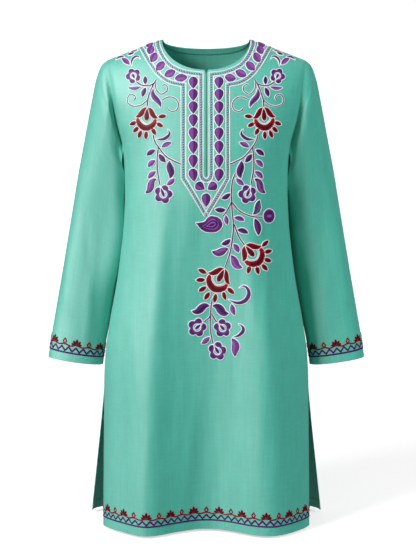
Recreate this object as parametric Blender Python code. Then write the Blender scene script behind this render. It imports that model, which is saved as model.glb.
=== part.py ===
"""Kurta tunic, worn and filled out with no wearer: front with a slit neck, back, two long sleeves, back neck facing.

Metres, +Z up, the front faces -Y. The origin lies midway between the two high shoulder points, where the
garment hangs from its wearer. Each panel is a thin wall: its outer face comes from a surface function, and
its inner face is the same points moved in by the cloth's thickness.
"""

import math

import bmesh
import bpy
import numpy as np

# The cut, as a maker would measure it
LENGTH = 0.9845
NECK_HALF_WIDTH = 0.088
FRONT_NECK_DROP = 0.0665
BACK_NECK_DROP = 0.0135
SHOULDER_HALF_WIDTH = 0.200
SHOULDER_DROP = 0.042
UNDERARM_DROP = 0.232
SIDE_SLIT_TOP = 0.702
NECK_SLIT_BOTTOM = 0.275
NECK_SLIT_WIDTH = 0.0018
NECK_NOTCH_WIDTH = 0.008
NECK_NOTCH_DEPTH = 0.007
HEM_ALLOWANCE = 0.0185
CUFF_ALLOWANCE = 0.0165
FACING_WIDTH = 0.011

# Thicknesses and the gap kept at every seam
CLOTH = 0.0016
HEM_CLOTH = 0.0026
FACING_CLOTH = 0.0010
SEAM_GAP = 0.0003

# Height where the chest starts to roll back over the shoulder, and the cloth's own run above it
ROLL_START = -0.150
ROLL_RUN = 0.200
SHOULDER_SEAM_Y = 0.008
FRONT_ROLL = 2.2
BACK_ROLL = 3.0
SHOULDER_BEND_X = 0.060
SHOULDER_BEND_RADIUS = 0.022

# Sections of the body, top to bottom. Below the side slits the two panels part, so each has its own edge.
BODY_COLUMNS = ("run", "front_half", "back_half", "front_depth", "back_depth", "front_edge_y", "back_edge_y", "square")
BODY_ROWS = (
    (0.050, 0.2230, 0.2230, 0.1020, 0.0960, 0.000, 0.000, 2.4),
    (-0.060, 0.2170, 0.2170, 0.1020, 0.0970, 0.000, 0.000, 2.4),
    (-0.118, 0.2080, 0.2080, 0.1040, 0.0970, 0.000, 0.000, 2.4),
    (-0.165, 0.1930, 0.1930, 0.1080, 0.0950, 0.000, 0.000, 2.4),
    (-0.210, 0.1745, 0.1745, 0.1130, 0.0920, 0.000, 0.000, 2.4),
    (-0.242, 0.1677, 0.1677, 0.1160, 0.0900, 0.000, 0.000, 2.35),
    (-0.300, 0.1650, 0.1650, 0.1160, 0.0860, 0.000, 0.000, 2.3),
    (-0.368, 0.1680, 0.1680, 0.1110, 0.0850, 0.000, 0.000, 2.3),
    (-0.430, 0.1745, 0.1745, 0.1060, 0.0880, 0.000, 0.000, 2.3),
    (-0.487, 0.1825, 0.1825, 0.1030, 0.0930, 0.000, 0.000, 2.3),
    (-0.572, 0.1980, 0.1980, 0.1010, 0.1000, 0.000, 0.000, 2.3),
    (-0.640, 0.2075, 0.2075, 0.1000, 0.1050, 0.000, 0.000, 2.3),
    (-SIDE_SLIT_TOP, 0.2105, 0.2105, 0.0990, 0.1080, 0.000, 0.000, 2.3),
    (-0.770, 0.2110, 0.2175, 0.0975, 0.1110, -0.008, 0.011, 2.25),
    (-0.860, 0.2110, 0.2285, 0.0965, 0.1140, -0.027, 0.031, 2.2),
    (-0.9845, 0.2110, 0.2438, 0.0960, 0.1160, -0.050, 0.055, 2.2),
)

# Long soft folds. Places and widths are shares of the half width, and "push" is how far a fold stands out at the hem.
FOLD_COLUMNS = ("panel", "top", "top_share", "hem_share", "top_width", "hem_width", "push", "rise")
FOLD_ROWS = (
    ("front", -0.225, -0.53, -0.565, 0.20, 0.30, 0.047, 0.75),
    ("front", -0.225, 0.53, 0.61, 0.22, 0.31, 0.046, 0.75),
    ("front", -0.330, 0.00, 0.01, 0.22, 0.24, -0.015, 1.0),
    ("front", -0.300, -0.40, -0.33, 0.09, 0.16, -0.005, 0.6),
    ("back", -0.300, -0.58, -0.66, 0.18, 0.20, 0.022, 0.9),
    ("back", -0.280, -0.16, -0.20, 0.16, 0.19, 0.017, 0.9),
    ("back", -0.300, 0.21, 0.27, 0.15, 0.20, 0.019, 0.9),
    ("back", -0.260, 0.61, 0.68, 0.16, 0.18, 0.021, 0.9),
    ("back", -0.350, 0.02, 0.03, 0.10, 0.12, -0.009, 1.0),
)

# Stations down a sleeve: the outer and inner line seen from the front, how far back the arm hangs, and half its depth
SLEEVE_COLUMNS = ("share", "outer_x", "outer_z", "inner_x", "inner_z", "centre_y", "half_depth")
SLEEVE_ROWS = (
    (0.00, 0.2000, -0.042, 0.1690, -0.232, 0.002, 0.055),
    (0.03, 0.2115, -0.052, 0.1712, -0.243, 0.005, 0.057),
    (0.08, 0.2230, -0.080, 0.1716, -0.262, 0.010, 0.059),
    (0.15, 0.2330, -0.124, 0.1667, -0.290, 0.017, 0.060),
    (0.25, 0.2465, -0.190, 0.1657, -0.333, 0.027, 0.059),
    (0.38, 0.2625, -0.268, 0.1678, -0.385, 0.035, 0.056),
    (0.52, 0.2785, -0.358, 0.1762, -0.443, 0.040, 0.053),
    (0.68, 0.2960, -0.458, 0.1890, -0.513, 0.040, 0.049),
    (0.82, 0.3115, -0.546, 0.2005, -0.576, 0.035, 0.044),
    (0.93, 0.3215, -0.606, 0.2100, -0.627, 0.027, 0.040),
    (1.00, 0.3275, -0.6475, 0.2145, -0.6635, 0.020, 0.037),
)
SLEEVE_SQUARE = 2.15
CAP_SHARE = 0.30

# Folds across a sleeve. Turn 0 is the outer line, 0.25 the front, 0.5 the inner line and 0.75 the back.
SLEEVE_FOLD_COLUMNS = ("turn", "turn_width", "share", "share_width", "push")
SLEEVE_FOLD_ROWS = (
    (0.30, 0.10, 0.075, 0.045, -0.0085),
    (0.70, 0.10, 0.080, 0.045, -0.0070),
    (0.36, 0.060, 0.50, 0.22, -0.0140),
    (0.22, 0.075, 0.50, 0.24, 0.0050),
    (0.68, 0.055, 0.45, 0.16, -0.0060),
    (0.80, 0.060, 0.62, 0.14, -0.0040),
)

# Mesh counts
SIDE_ROWS = 17
SLIT_ROWS = 6
NECK_ROWS = 9
HALF_COLUMNS = 14
BACK_NECK_COLUMNS = 10
BACK_SHOULDER_COLUMNS = 8
SLEEVE_RINGS = 21
STEP = 1e-4

TEAL = (0.120, 0.520, 0.415, 1.0)
TEAL_FACING = (0.100, 0.450, 0.355, 1.0)


def table(columns, rows):
    """The rows as one array for each named column."""
    return {name: np.array(column) for name, column in zip(columns, zip(*rows))}


def smooth(at, places, values):
    """Reads a table between its rows along a smooth curve that never overshoots them (monotone cubic)."""
    order = np.argsort(places)
    x, y = places[order], values[order]
    run = np.diff(x)
    slope = np.diff(y) / run
    tangent = np.zeros_like(y)
    same = slope[:-1] * slope[1:] > 0
    weight = run[:-1] + 2 * run[1:], 2 * run[:-1] + run[1:]
    with np.errstate(divide="ignore", invalid="ignore"):
        mean = (weight[0] + weight[1]) / (weight[0] / slope[:-1] + weight[1] / slope[1:])
    tangent[1:-1] = np.where(same, mean, 0.0)
    tangent[0], tangent[-1] = slope[0], slope[-1]
    at = np.clip(at, x[0], x[-1])
    i = np.clip(np.searchsorted(x, at) - 1, 0, len(run) - 1)
    t = (at - x[i]) / run[i]
    rest = 1 - t
    return (
        y[i] * (1 + 2 * t) * rest**2
        + tangent[i] * run[i] * t * rest**2
        + y[i + 1] * t**2 * (3 - 2 * t)
        - tangent[i + 1] * run[i] * t**2 * rest
    )


def ease(t):
    """0 to 1 with a level start and end."""
    t = np.clip(t, 0, 1)
    return t * t * (3 - 2 * t)


def rounded(angle, power):
    """A point on a unit rounded square: (share across, share forward) at an angle from straight ahead."""
    across, ahead = np.sin(angle), np.cos(angle)
    reach = (np.abs(across) ** power + np.abs(ahead) ** power) ** (-1 / power)
    return reach * across, reach * ahead


BODY = table(BODY_COLUMNS, BODY_ROWS)
SLEEVE = table(SLEEVE_COLUMNS, SLEEVE_ROWS)
SIGN = {"front": -1.0, "back": 1.0}
ROLL = {"front": FRONT_ROLL, "back": BACK_ROLL}


def body(column, run):
    return smooth(run, BODY["run"], BODY[column])


def shoulder_height(x):
    """Height of the shoulder line over a place x, sloping from the high shoulder point, with a soft bend at the neck."""

    def bend(across):
        out = np.abs(across) - SHOULDER_BEND_X
        return (out + np.sqrt(out**2 + SHOULDER_BEND_RADIUS**2)) / 2

    slope = SHOULDER_DROP / (bend(SHOULDER_HALF_WIDTH) - bend(NECK_HALF_WIDTH))
    return -slope * (bend(x) - bend(NECK_HALF_WIDTH))


def folds(panel, across, run):
    """How far the long folds push a panel outwards at a share across and a run down."""
    push = 0.0
    for row in FOLD_ROWS:
        fold = dict(zip(FOLD_COLUMNS, row))
        if fold["panel"] != panel:
            continue
        down = np.clip((fold["top"] - run) / (fold["top"] + LENGTH), 0, 1)
        centre = fold["top_share"] + (fold["hem_share"] - fold["top_share"]) * down
        width = fold["top_width"] + (fold["hem_width"] - fold["top_width"]) * down
        push = push + fold["push"] * ease(down ** fold["rise"]) * np.exp(-(((across - centre) / width) ** 2))
    return push


def panel_point(panel, turn, run):
    """A point on a body panel's outer face. Turn runs from -1 at one side seam to 1 at the other, 0 at the centre."""
    sign = SIGN[panel]
    half, depth = body(panel + "_half", run), body(panel + "_depth", run)
    edge = body(panel + "_edge_y", run) + sign * SEAM_GAP / 2
    across, ahead = rounded(turn * math.pi / 2, body("square", run))
    x = half * across
    y = edge * (1 - ahead) + sign * depth * ahead
    y = y + sign * folds(panel, across, run) * ease(ahead * 1.8)
    roll = np.maximum(run - ROLL_START, 0) / ROLL_RUN * math.pi / 2
    up, level = rounded(roll, ROLL[panel])
    seam = SHOULDER_SEAM_Y + sign * SEAM_GAP / 2
    y = seam + (y - seam) * level
    z = np.where(run > ROLL_START, ROLL_START + (shoulder_height(x) - ROLL_START) * up, run)
    return np.stack([x, y, z], axis=-1)


def panel_place(panel, x, z):
    """The (turn, run) of the point of a panel that is seen from the front at x, z."""
    up = np.clip((z - ROLL_START) / (shoulder_height(x) - ROLL_START), 0, 1)
    level = (1 - up ** ROLL[panel]) ** (1 / ROLL[panel])
    run = np.where(z > ROLL_START, ROLL_START + np.arctan2(up, level) / (math.pi / 2) * ROLL_RUN, z)
    power = body("square", run)
    share = np.clip(np.abs(x) / body(panel + "_half", run), 0, 1)
    ahead = (1 - share**power) ** (1 / power)
    return np.sign(x) * np.arctan2(share, ahead) / (math.pi / 2), run


def facing_out(point, turn, run, flip):
    """Unit normals of a surface function, turned round where flip is -1."""
    along = point(turn + STEP, run) - point(turn - STEP, run)
    down = point(turn, run + STEP) - point(turn, run - STEP)
    normal = np.cross(along, down) * flip
    return normal / np.linalg.norm(normal, axis=-1, keepdims=True)


def panel_normal(panel, turn, run):
    return facing_out(lambda t, r: panel_point(panel, t, r), turn, run, -SIGN[panel])


def between(start, end, count):
    """Count + 1 evenly spaced values."""
    return np.linspace(start, end, count + 1)


def armhole(panel):
    """(turn, run) down the armhole of the +X half: underarm first, shoulder point last."""
    drop = SHOULDER_DROP + (UNDERARM_DROP - SHOULDER_DROP) * np.array([1.0, 0.955, 0.86, 0.72, 0.56, 0.36, 0.16, 0.0])
    x = np.array([0.1690, 0.1652, 0.1668, 0.1722, 0.1778, 0.1850, 0.1935, SHOULDER_HALF_WIDTH])
    turn, run = panel_place(panel, x, -drop)
    turn[0], run[-1] = 1.0, ROLL_START + ROLL_RUN
    place = panel_point(panel, turn, run)
    along = np.concatenate([[0], np.cumsum(np.linalg.norm(np.diff(place, axis=0), axis=1))])
    at = between(0, along[-1], SLIT_ROWS + NECK_ROWS)
    return smooth(at, along, turn), smooth(at, along, run)


def side_runs():
    """Heights of the rows below the underarm, hem first, with a close pair where the hem's turned-up layer ends."""
    hem_top = -LENGTH + HEM_ALLOWANCE
    above = between(hem_top + 0.0012, -UNDERARM_DROP, SIDE_ROWS - 2)
    return np.concatenate([[-LENGTH, hem_top], above])


def front_grid():
    """(turn, run) of the +X half of the front, rows from the hem up and columns from the centre out."""
    outer_turn, outer_run = armhole("front")
    runs = side_runs()
    outer_turn = np.concatenate([np.ones(len(runs) - 1), outer_turn])
    outer_run = np.concatenate([runs[:-1], outer_run])
    stretch = (runs - runs[1]) / (runs[-1] - runs[1])
    centre = np.where(runs > runs[1], runs[1] + stretch * (-NECK_SLIT_BOTTOM - runs[1]), runs)
    notch_bottom = -FRONT_NECK_DROP - NECK_NOTCH_DEPTH
    slit_z = np.concatenate([between(-NECK_SLIT_BOTTOM, notch_bottom, SLIT_ROWS - 1), [-FRONT_NECK_DROP]])
    slit_x = np.concatenate([[0], np.full(SLIT_ROWS - 1, NECK_SLIT_WIDTH / 2), [NECK_NOTCH_WIDTH / 2]])
    round_it = between(0, math.pi / 2, NECK_ROWS)
    neck_x = NECK_NOTCH_WIDTH / 2 + (NECK_HALF_WIDTH - NECK_NOTCH_WIDTH / 2) * np.sin(round_it)
    neck_z = -FRONT_NECK_DROP * np.cos(round_it)
    x = np.concatenate([slit_x[1:], neck_x[1:]])
    z = np.concatenate([slit_z[1:], neck_z[1:]])
    inner_turn, inner_run = panel_place("front", x, z)
    inner_turn = np.concatenate([np.zeros(len(runs)), inner_turn])
    inner_run = np.concatenate([centre, inner_run])
    inner_run[-1] = ROLL_START + ROLL_RUN
    share = between(0, 1, HALF_COLUMNS)
    turn = inner_turn[:, None] + (outer_turn - inner_turn)[:, None] * share
    run = inner_run[:, None] + (outer_run - inner_run)[:, None] * share
    return turn, run


def back_grid():
    """(turn, run) of the whole back, rows from the hem up and columns from -X to +X."""
    outer_turn, outer_run = armhole("back")
    runs = side_runs()
    outer_turn = np.concatenate([np.ones(len(runs) - 1), outer_turn])
    outer_run = np.concatenate([runs[:-1], outer_run])
    top = ROLL_START + ROLL_RUN
    neck_turn, _ = panel_place("back", np.array([NECK_HALF_WIDTH]), np.array([0.0]))
    round_it = between(-math.pi / 2, math.pi / 2, BACK_NECK_COLUMNS)
    x, z = NECK_HALF_WIDTH * np.sin(round_it), -BACK_NECK_DROP * np.cos(round_it)
    curve_turn, curve_run = panel_place("back", x, z)
    curve_turn[[0, -1]] = -neck_turn[0], neck_turn[0]
    curve_run[[0, -1]] = top
    left = between(-outer_turn[-1], curve_turn[0], BACK_SHOULDER_COLUMNS)
    top_turn = np.concatenate([left[:-1], curve_turn, -left[:-1][::-1]])
    top_run = np.concatenate([np.full(BACK_SHOULDER_COLUMNS, top), curve_run, np.full(BACK_SHOULDER_COLUMNS, top)])
    share = top_turn / outer_turn[-1]
    turn = outer_turn[:, None] * share
    reach = np.clip((outer_run - ROLL_START) / ROLL_RUN, 0, 1)[:, None]
    run = outer_run[:, None] + reach**1.5 * (top_run - top)
    middle = slice(BACK_SHOULDER_COLUMNS, BACK_SHOULDER_COLUMNS + BACK_NECK_COLUMNS + 1)
    run[-2, middle] = np.minimum(run[-2, middle], curve_run - FACING_WIDTH)
    return turn, run


def sleeve_line(share):
    """The sleeve's outer line, inner line, centre depth and half depth at shares of its length."""
    read = {name: smooth(share, SLEEVE["share"], SLEEVE[name]) for name in SLEEVE_COLUMNS[1:]}
    outer = np.stack([read["outer_x"], read["centre_y"], read["outer_z"]], axis=-1)
    inner = np.stack([read["inner_x"], read["centre_y"], read["inner_z"]], axis=-1)
    return outer, inner, read["half_depth"]


def sleeve_point(round_it, share):
    """A point on the plain sleeve tube of the +X side. Round_it is 0 at the outer line and 0.25 at the front."""
    outer, inner, depth = sleeve_line(share)
    aside, along = rounded(round_it * 2 * math.pi, SLEEVE_SQUARE)
    middle, arm = (outer + inner) / 2, (outer - inner) / 2
    point = middle + arm * along[..., None]
    point[..., 1] -= depth * aside
    return point


def sleeve_normal(round_it, share):
    return facing_out(sleeve_point, round_it, share, -1.0)


def sleeve_folds(round_it, share):
    push = 0.0
    for row in SLEEVE_FOLD_ROWS:
        fold = dict(zip(SLEEVE_FOLD_COLUMNS, row))
        aside = (round_it - fold["turn"]) / fold["turn_width"]
        down = (share - fold["share"]) / fold["share_width"]
        push = push + fold["push"] * np.exp(-(aside**2) - down**2)
    return push


def armhole_loop():
    """Outer points, inner points and the way out of the body round the +X armhole, shoulder first, then the front."""
    sides = {}
    for panel in ("front", "back"):
        turn, run = armhole(panel)
        outer = panel_point(panel, turn, run)
        normal = panel_normal(panel, turn, run)
        tangent = np.gradient(outer, axis=0)
        away = np.cross(tangent, normal)
        away /= np.linalg.norm(away, axis=1, keepdims=True)
        away *= np.sign(away[:, :1])
        sides[panel] = outer, outer - CLOTH * normal, away
    loop = []
    for front, back in zip(sides["front"], sides["back"]):
        shoulder, underarm = (front[-1] + back[-1]) / 2, (front[0] + back[0]) / 2
        loop.append(np.concatenate([[shoulder], front[-2:0:-1], [underarm], back[1:-1]]))
    return loop


def sleeve_walls():
    """Outer and inner points of the +X sleeve as (ring, place round it), from the armhole to the cuff."""
    outer_loop, inner_loop, away = armhole_loop()
    count = len(outer_loop)
    cuff_row = 1 - CUFF_ALLOWANCE / np.linalg.norm(np.subtract(*sleeve_line(np.array([0.0, 1.0]))[0]))
    shares = np.concatenate([between(0, 1, SLEEVE_RINGS - 3) ** 1.15 * (cuff_row - 0.002), [cuff_row, 1.0]])
    turn, share = np.meshgrid(np.arange(count) / count, shares)
    point, normal = sleeve_point(turn, share), sleeve_normal(turn, share)
    fade = 1 - ease(share / CAP_SHARE)
    seam = outer_loop + SEAM_GAP * away
    outer = point + fade[..., None] * (seam - point[0]) + sleeve_folds(turn, share)[..., None] * normal * (
        1 - np.exp(-((share / 0.03) ** 2))
    )[..., None]
    normal = grid_normals(outer)
    thickness = np.where(share >= cuff_row - 1e-9, HEM_CLOTH, CLOTH)[..., None]
    inner = outer - thickness * normal
    inner[0] = inner_loop + SEAM_GAP * away
    return outer, inner


def grid_normals(ring):
    """Outward normals of a tube given as (ring, place round it)."""
    round_it = np.roll(ring, -1, axis=1) - np.roll(ring, 1, axis=1)
    normal = np.cross(np.gradient(ring, axis=0), round_it)
    normal /= np.linalg.norm(normal, axis=2, keepdims=True)
    centre = ring.mean(axis=1, keepdims=True)
    return normal * np.sign(((ring - centre) * normal).sum(axis=(1, 2), keepdims=True))


def grid_quads(rows, columns, number, closed=False):
    """Quads of a grid whose vertex numbers are number[row, column]."""
    quads = []
    for j in range(rows - 1):
        for i in range(columns if closed else columns - 1):
            k = (i + 1) % columns
            quads.append((number[j, i], number[j, k], number[j + 1, k], number[j + 1, i]))
    return quads


def material(name, colour):
    cloth = bpy.data.materials.new(name)
    cloth.use_nodes = True
    shader = cloth.node_tree.nodes["Principled BSDF"]
    shader.inputs["Base Color"].default_value = colour
    shader.inputs["Roughness"].default_value = 0.85
    shader.inputs["Metallic"].default_value = 0.0
    return cloth


def wall(name, outer, inner, quads, colour):
    """A closed wall between two faces with the same quads, split alike, with its rim filled round every open edge."""
    mesh = bpy.data.meshes.new(name)
    made = bmesh.new()
    tops = [made.verts.new(p) for p in outer]
    bottoms = [made.verts.new(p) for p in inner]
    used = {}
    for a, b, c, d in quads:
        for corners in ((a, b, c), (a, c, d)):
            made.faces.new([tops[i] for i in corners])
            made.faces.new([bottoms[i] for i in reversed(corners)])
        for edge in ((a, b), (b, c), (c, d), (d, a)):
            used[edge] = True
    for a, b in used:
        if (b, a) not in used:
            made.faces.new([tops[b], tops[a], bottoms[a], bottoms[b]])
    bmesh.ops.recalc_face_normals(made, faces=made.faces)
    made.to_mesh(mesh)
    made.free()
    mesh.shade_smooth()
    mesh.set_sharp_from_angle(angle=math.radians(50))
    mesh.materials.append(material(name + "_cloth", colour))
    piece = bpy.data.objects.new(name, mesh)
    bpy.context.scene.collection.objects.link(piece)
    return piece


def panel_wall(name, panel, turn, run, quads):
    """A body panel's wall, with the hem turned up on its inner side."""
    outer = panel_point(panel, turn, run)
    hem = run <= -LENGTH + HEM_ALLOWANCE + STEP
    thickness = np.where(hem, HEM_CLOTH, CLOTH)[:, None]
    return wall(name, outer, outer - thickness * panel_normal(panel, turn, run), quads, TEAL)


def front():
    """The front in one piece: its halves share the centre column up to the foot of the neck slit."""
    turn, run = front_grid()
    rows, columns = turn.shape
    closed_rows = SIDE_ROWS + 1
    right = np.arange(rows * columns).reshape(rows, columns)
    left = right + rows * columns
    left[:closed_rows, 0] = right[:closed_rows, 0]
    quads = grid_quads(rows, columns, right)
    quads += [quad[::-1] for quad in grid_quads(rows, columns, left)]
    kept, place = np.unique(quads, return_inverse=True)
    both = np.concatenate([turn.ravel(), -turn.ravel()])[kept], np.concatenate([run.ravel(), run.ravel()])[kept]
    quads = [tuple(quad) for quad in place.reshape(-1, 4).tolist()]
    return panel_wall("front", "front", *both, quads)


def back():
    turn, run = back_grid()
    rows, columns = turn.shape
    number = np.arange(rows * columns).reshape(rows, columns)
    return panel_wall("back", "back", turn.ravel(), run.ravel(), grid_quads(rows, columns, number))


def back_neck_facing():
    """The narrow facing inside the back neck, made from the back's top two rows and moved in."""
    turn, run = back_grid()
    middle = slice(BACK_SHOULDER_COLUMNS, BACK_SHOULDER_COLUMNS + BACK_NECK_COLUMNS + 1)
    turn, run = turn[-2:, middle], run[-2:, middle]
    number = np.arange(turn.size).reshape(turn.shape)
    point, normal = panel_point("back", turn, run), panel_normal("back", turn, run)
    near = CLOTH + SEAM_GAP
    outer = (point - near * normal).reshape(-1, 3)
    inner = (point - (near + FACING_CLOTH) * normal).reshape(-1, 3)
    return wall("neck_facing_back", outer, inner, grid_quads(*turn.shape, number), TEAL_FACING)


def sleeves():
    outer, inner = sleeve_walls()
    rings, places = outer.shape[:2]
    number = np.arange(rings * places).reshape(rings, places)
    quads = grid_quads(rings, places, number, closed=True)
    for name, side in (("sleeve_left", 1.0), ("sleeve_right", -1.0)):
        mirror = np.array([side, 1.0, 1.0])
        wall(name, outer.reshape(-1, 3) * mirror, inner.reshape(-1, 3) * mirror, quads, TEAL)


def main():
    for old in list(bpy.data.objects):
        bpy.data.objects.remove(old)
    front()
    back()
    back_neck_facing()
    sleeves()


main()
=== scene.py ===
"""The kurta tunic's visible cloth, stitching, light and camera, on the CAD frame.

Metres, +Z up, the front faces -Y, and the origin lies midway between the high shoulder points. The panels
are thin shells on the same surface functions as the solids, with softer creases added. Stitched work is
drawn flat in millimetres, as (across, up) on a panel, and then laid on the cloth as raised thread.
"""

import math

import bpy
import numpy as np
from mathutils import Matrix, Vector


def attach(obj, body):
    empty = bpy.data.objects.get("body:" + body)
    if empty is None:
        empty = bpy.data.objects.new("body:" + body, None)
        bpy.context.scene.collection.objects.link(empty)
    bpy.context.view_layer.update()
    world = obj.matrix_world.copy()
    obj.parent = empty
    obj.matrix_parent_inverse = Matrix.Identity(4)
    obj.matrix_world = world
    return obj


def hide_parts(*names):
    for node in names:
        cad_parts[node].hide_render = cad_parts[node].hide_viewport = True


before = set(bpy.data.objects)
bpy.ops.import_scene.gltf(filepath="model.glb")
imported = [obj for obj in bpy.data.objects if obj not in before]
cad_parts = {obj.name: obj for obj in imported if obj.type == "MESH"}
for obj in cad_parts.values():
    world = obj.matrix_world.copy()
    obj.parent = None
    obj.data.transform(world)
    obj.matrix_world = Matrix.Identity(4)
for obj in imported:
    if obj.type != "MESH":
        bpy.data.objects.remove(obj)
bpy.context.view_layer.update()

# Sizes of the cut
LENGTH = 0.9845
NECK_HALF_WIDTH = 0.088
FRONT_NECK_DROP = 0.0665
BACK_NECK_DROP = 0.0135
SHOULDER_HALF_WIDTH = 0.200
SHOULDER_DROP = 0.042
UNDERARM_DROP = 0.232
NECK_SLIT_BOTTOM = 0.275
NECK_SLIT_WIDTH = 0.0018
NECK_NOTCH_WIDTH = 0.008
NECK_NOTCH_DEPTH = 0.007
HEM_ALLOWANCE = 0.0185
CUFF_ALLOWANCE = 0.0165
FACING_WIDTH = 0.011
CLOTH = 0.0012
HEM_CLOTH = 0.0022
FACING_CLOTH = 0.0009
SEAM_GAP = 0.0003

# How the panels roll over the shoulders to meet at the shoulder seam
ROLL_START = -0.150
ROLL_RUN = 0.200
TOP = ROLL_START + ROLL_RUN
SHOULDER_SEAM_Y = 0.008
ROLL = {"front": 2.2, "back": 3.0}
SHOULDER_BEND_X = 0.060
SHOULDER_BEND_RADIUS = 0.022
SIGN = {"front": -1.0, "back": 1.0}

# Sections of the body, top to bottom
BODY_COLUMNS = (
    "run", "front_half", "back_half", "front_depth", "back_depth", "front_edge_y", "back_edge_y", "square"
)
BODY_ROWS = (
    (0.050, 0.2230, 0.2230, 0.1020, 0.0960, 0.000, 0.000, 2.4),
    (-0.060, 0.2170, 0.2170, 0.1020, 0.0970, 0.000, 0.000, 2.4),
    (-0.118, 0.2080, 0.2080, 0.1040, 0.0970, 0.000, 0.000, 2.4),
    (-0.165, 0.1930, 0.1930, 0.1080, 0.0950, 0.000, 0.000, 2.4),
    (-0.210, 0.1745, 0.1745, 0.1130, 0.0920, 0.000, 0.000, 2.4),
    (-0.242, 0.1677, 0.1677, 0.1160, 0.0900, 0.000, 0.000, 2.35),
    (-0.300, 0.1650, 0.1650, 0.1160, 0.0860, 0.000, 0.000, 2.3),
    (-0.368, 0.1680, 0.1680, 0.1110, 0.0850, 0.000, 0.000, 2.3),
    (-0.430, 0.1745, 0.1745, 0.1060, 0.0880, 0.000, 0.000, 2.3),
    (-0.487, 0.1825, 0.1825, 0.1030, 0.0930, 0.000, 0.000, 2.3),
    (-0.572, 0.1980, 0.1980, 0.1010, 0.1000, 0.000, 0.000, 2.3),
    (-0.640, 0.2075, 0.2075, 0.1000, 0.1050, 0.000, 0.000, 2.3),
    (-0.702, 0.2105, 0.2105, 0.0990, 0.1080, 0.000, 0.000, 2.3),
    (-0.770, 0.2110, 0.2175, 0.0975, 0.1110, -0.008, 0.011, 2.25),
    (-0.860, 0.2110, 0.2285, 0.0965, 0.1140, -0.027, 0.031, 2.2),
    (-0.9845, 0.2110, 0.2438, 0.0960, 0.1160, -0.050, 0.055, 2.2),
)

# Long soft folds, places and widths as shares of the half width
FOLD_COLUMNS = ("panel", "top", "top_share", "hem_share", "top_width", "hem_width", "push", "rise")
FOLD_ROWS = (
    ("front", -0.225, -0.53, -0.565, 0.20, 0.30, 0.047, 0.75),
    ("front", -0.225, 0.53, 0.61, 0.22, 0.31, 0.046, 0.75),
    ("front", -0.330, 0.00, 0.01, 0.22, 0.24, -0.015, 1.0),
    ("front", -0.300, -0.40, -0.33, 0.09, 0.16, -0.005, 0.6),
    ("back", -0.300, -0.58, -0.66, 0.18, 0.20, 0.022, 0.9),
    ("back", -0.280, -0.16, -0.20, 0.16, 0.19, 0.017, 0.9),
    ("back", -0.300, 0.21, 0.27, 0.15, 0.20, 0.019, 0.9),
    ("back", -0.260, 0.61, 0.68, 0.16, 0.18, 0.021, 0.9),
    ("back", -0.350, 0.02, 0.03, 0.10, 0.12, -0.009, 1.0),
)

# Small creases, as soft lines on a panel seen from the front, in millimetres. A negative depth is a trough.
CREASE_COLUMNS = ("panel", "x0", "z0", "x1", "z1", "width", "depth")
CREASE_ROWS = (
    ("front", 66, -420, 84, -560, 9, -1.3),
    ("front", 122, -420, 130, -680, 12, 2.2),
    ("front", 92, -450, 101, -640, 12, 1.2),
    ("front", 60, -600, 72, -800, 12, -1.8),
    ("front", -62, -620, -76, -860, 13, -1.6),
    ("front", -30, -690, -26, -900, 11, 1.0),
    ("front", 22, -720, 30, -930, 10, -1.3),
    ("front", 118, -180, 150, -300, 12, -1.8),
    ("front", -120, -190, -152, -310, 12, -1.5),
    ("front", 96, -290, 136, -380, 12, -1.2),
    ("front", -104, -300, -138, -400, 13, -1.1),
    ("front", -150, -560, -160, -760, 12, 1.1),
    ("front", 160, -600, 170, -820, 12, -1.2),
    ("front", -10, -360, 6, -460, 12, -0.9),
    ("back", -110, -90, -30, -120, 14, -1.6),
    ("back", 112, -96, 40, -118, 13, -1.3),
    ("back", -148, -190, -96, -290, 14, -2.2),
    ("back", 150, -180, 92, -270, 15, -2.0),
    ("back", -84, -360, -104, -560, 12, -1.6),
    ("back", 40, -380, 58, -640, 12, 1.3),
    ("back", 96, -420, 120, -600, 14, -1.7),
    ("back", -12, -440, -4, -700, 10, -1.2),
    ("back", -150, -640, -172, -860, 14, 1.5),
)

# Stations down a sleeve
SLEEVE_COLUMNS = ("share", "outer_x", "outer_z", "inner_x", "inner_z", "centre_y", "half_depth")
SLEEVE_ROWS = (
    (0.00, 0.2000, -0.042, 0.1690, -0.232, 0.002, 0.055),
    (0.03, 0.2115, -0.052, 0.1712, -0.243, 0.005, 0.057),
    (0.08, 0.2230, -0.080, 0.1716, -0.262, 0.010, 0.059),
    (0.15, 0.2330, -0.124, 0.1667, -0.290, 0.017, 0.060),
    (0.25, 0.2465, -0.190, 0.1657, -0.333, 0.027, 0.059),
    (0.38, 0.2625, -0.268, 0.1678, -0.385, 0.035, 0.056),
    (0.52, 0.2785, -0.358, 0.1762, -0.443, 0.040, 0.053),
    (0.68, 0.2960, -0.458, 0.1890, -0.513, 0.040, 0.049),
    (0.82, 0.3115, -0.546, 0.2005, -0.576, 0.035, 0.044),
    (0.93, 0.3215, -0.606, 0.2100, -0.627, 0.027, 0.040),
    (1.00, 0.3275, -0.6475, 0.2145, -0.6635, 0.020, 0.037),
)

# Faint waves: length across and down in metres, start as a share of a wave, and height in millimetres
RIPPLE_ROWS = (
    (0.071, 0.83, 0.13, 0.50),
    (0.043, -0.61, 0.57, 0.26),
    (0.029, 0.47, 0.31, 0.13),
)
RIPPLE_SHIFT = {"front": 0.4, "back": 1.9}
RIPPLE_TOP = -0.12
RIPPLE_FADE = 0.2

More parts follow.
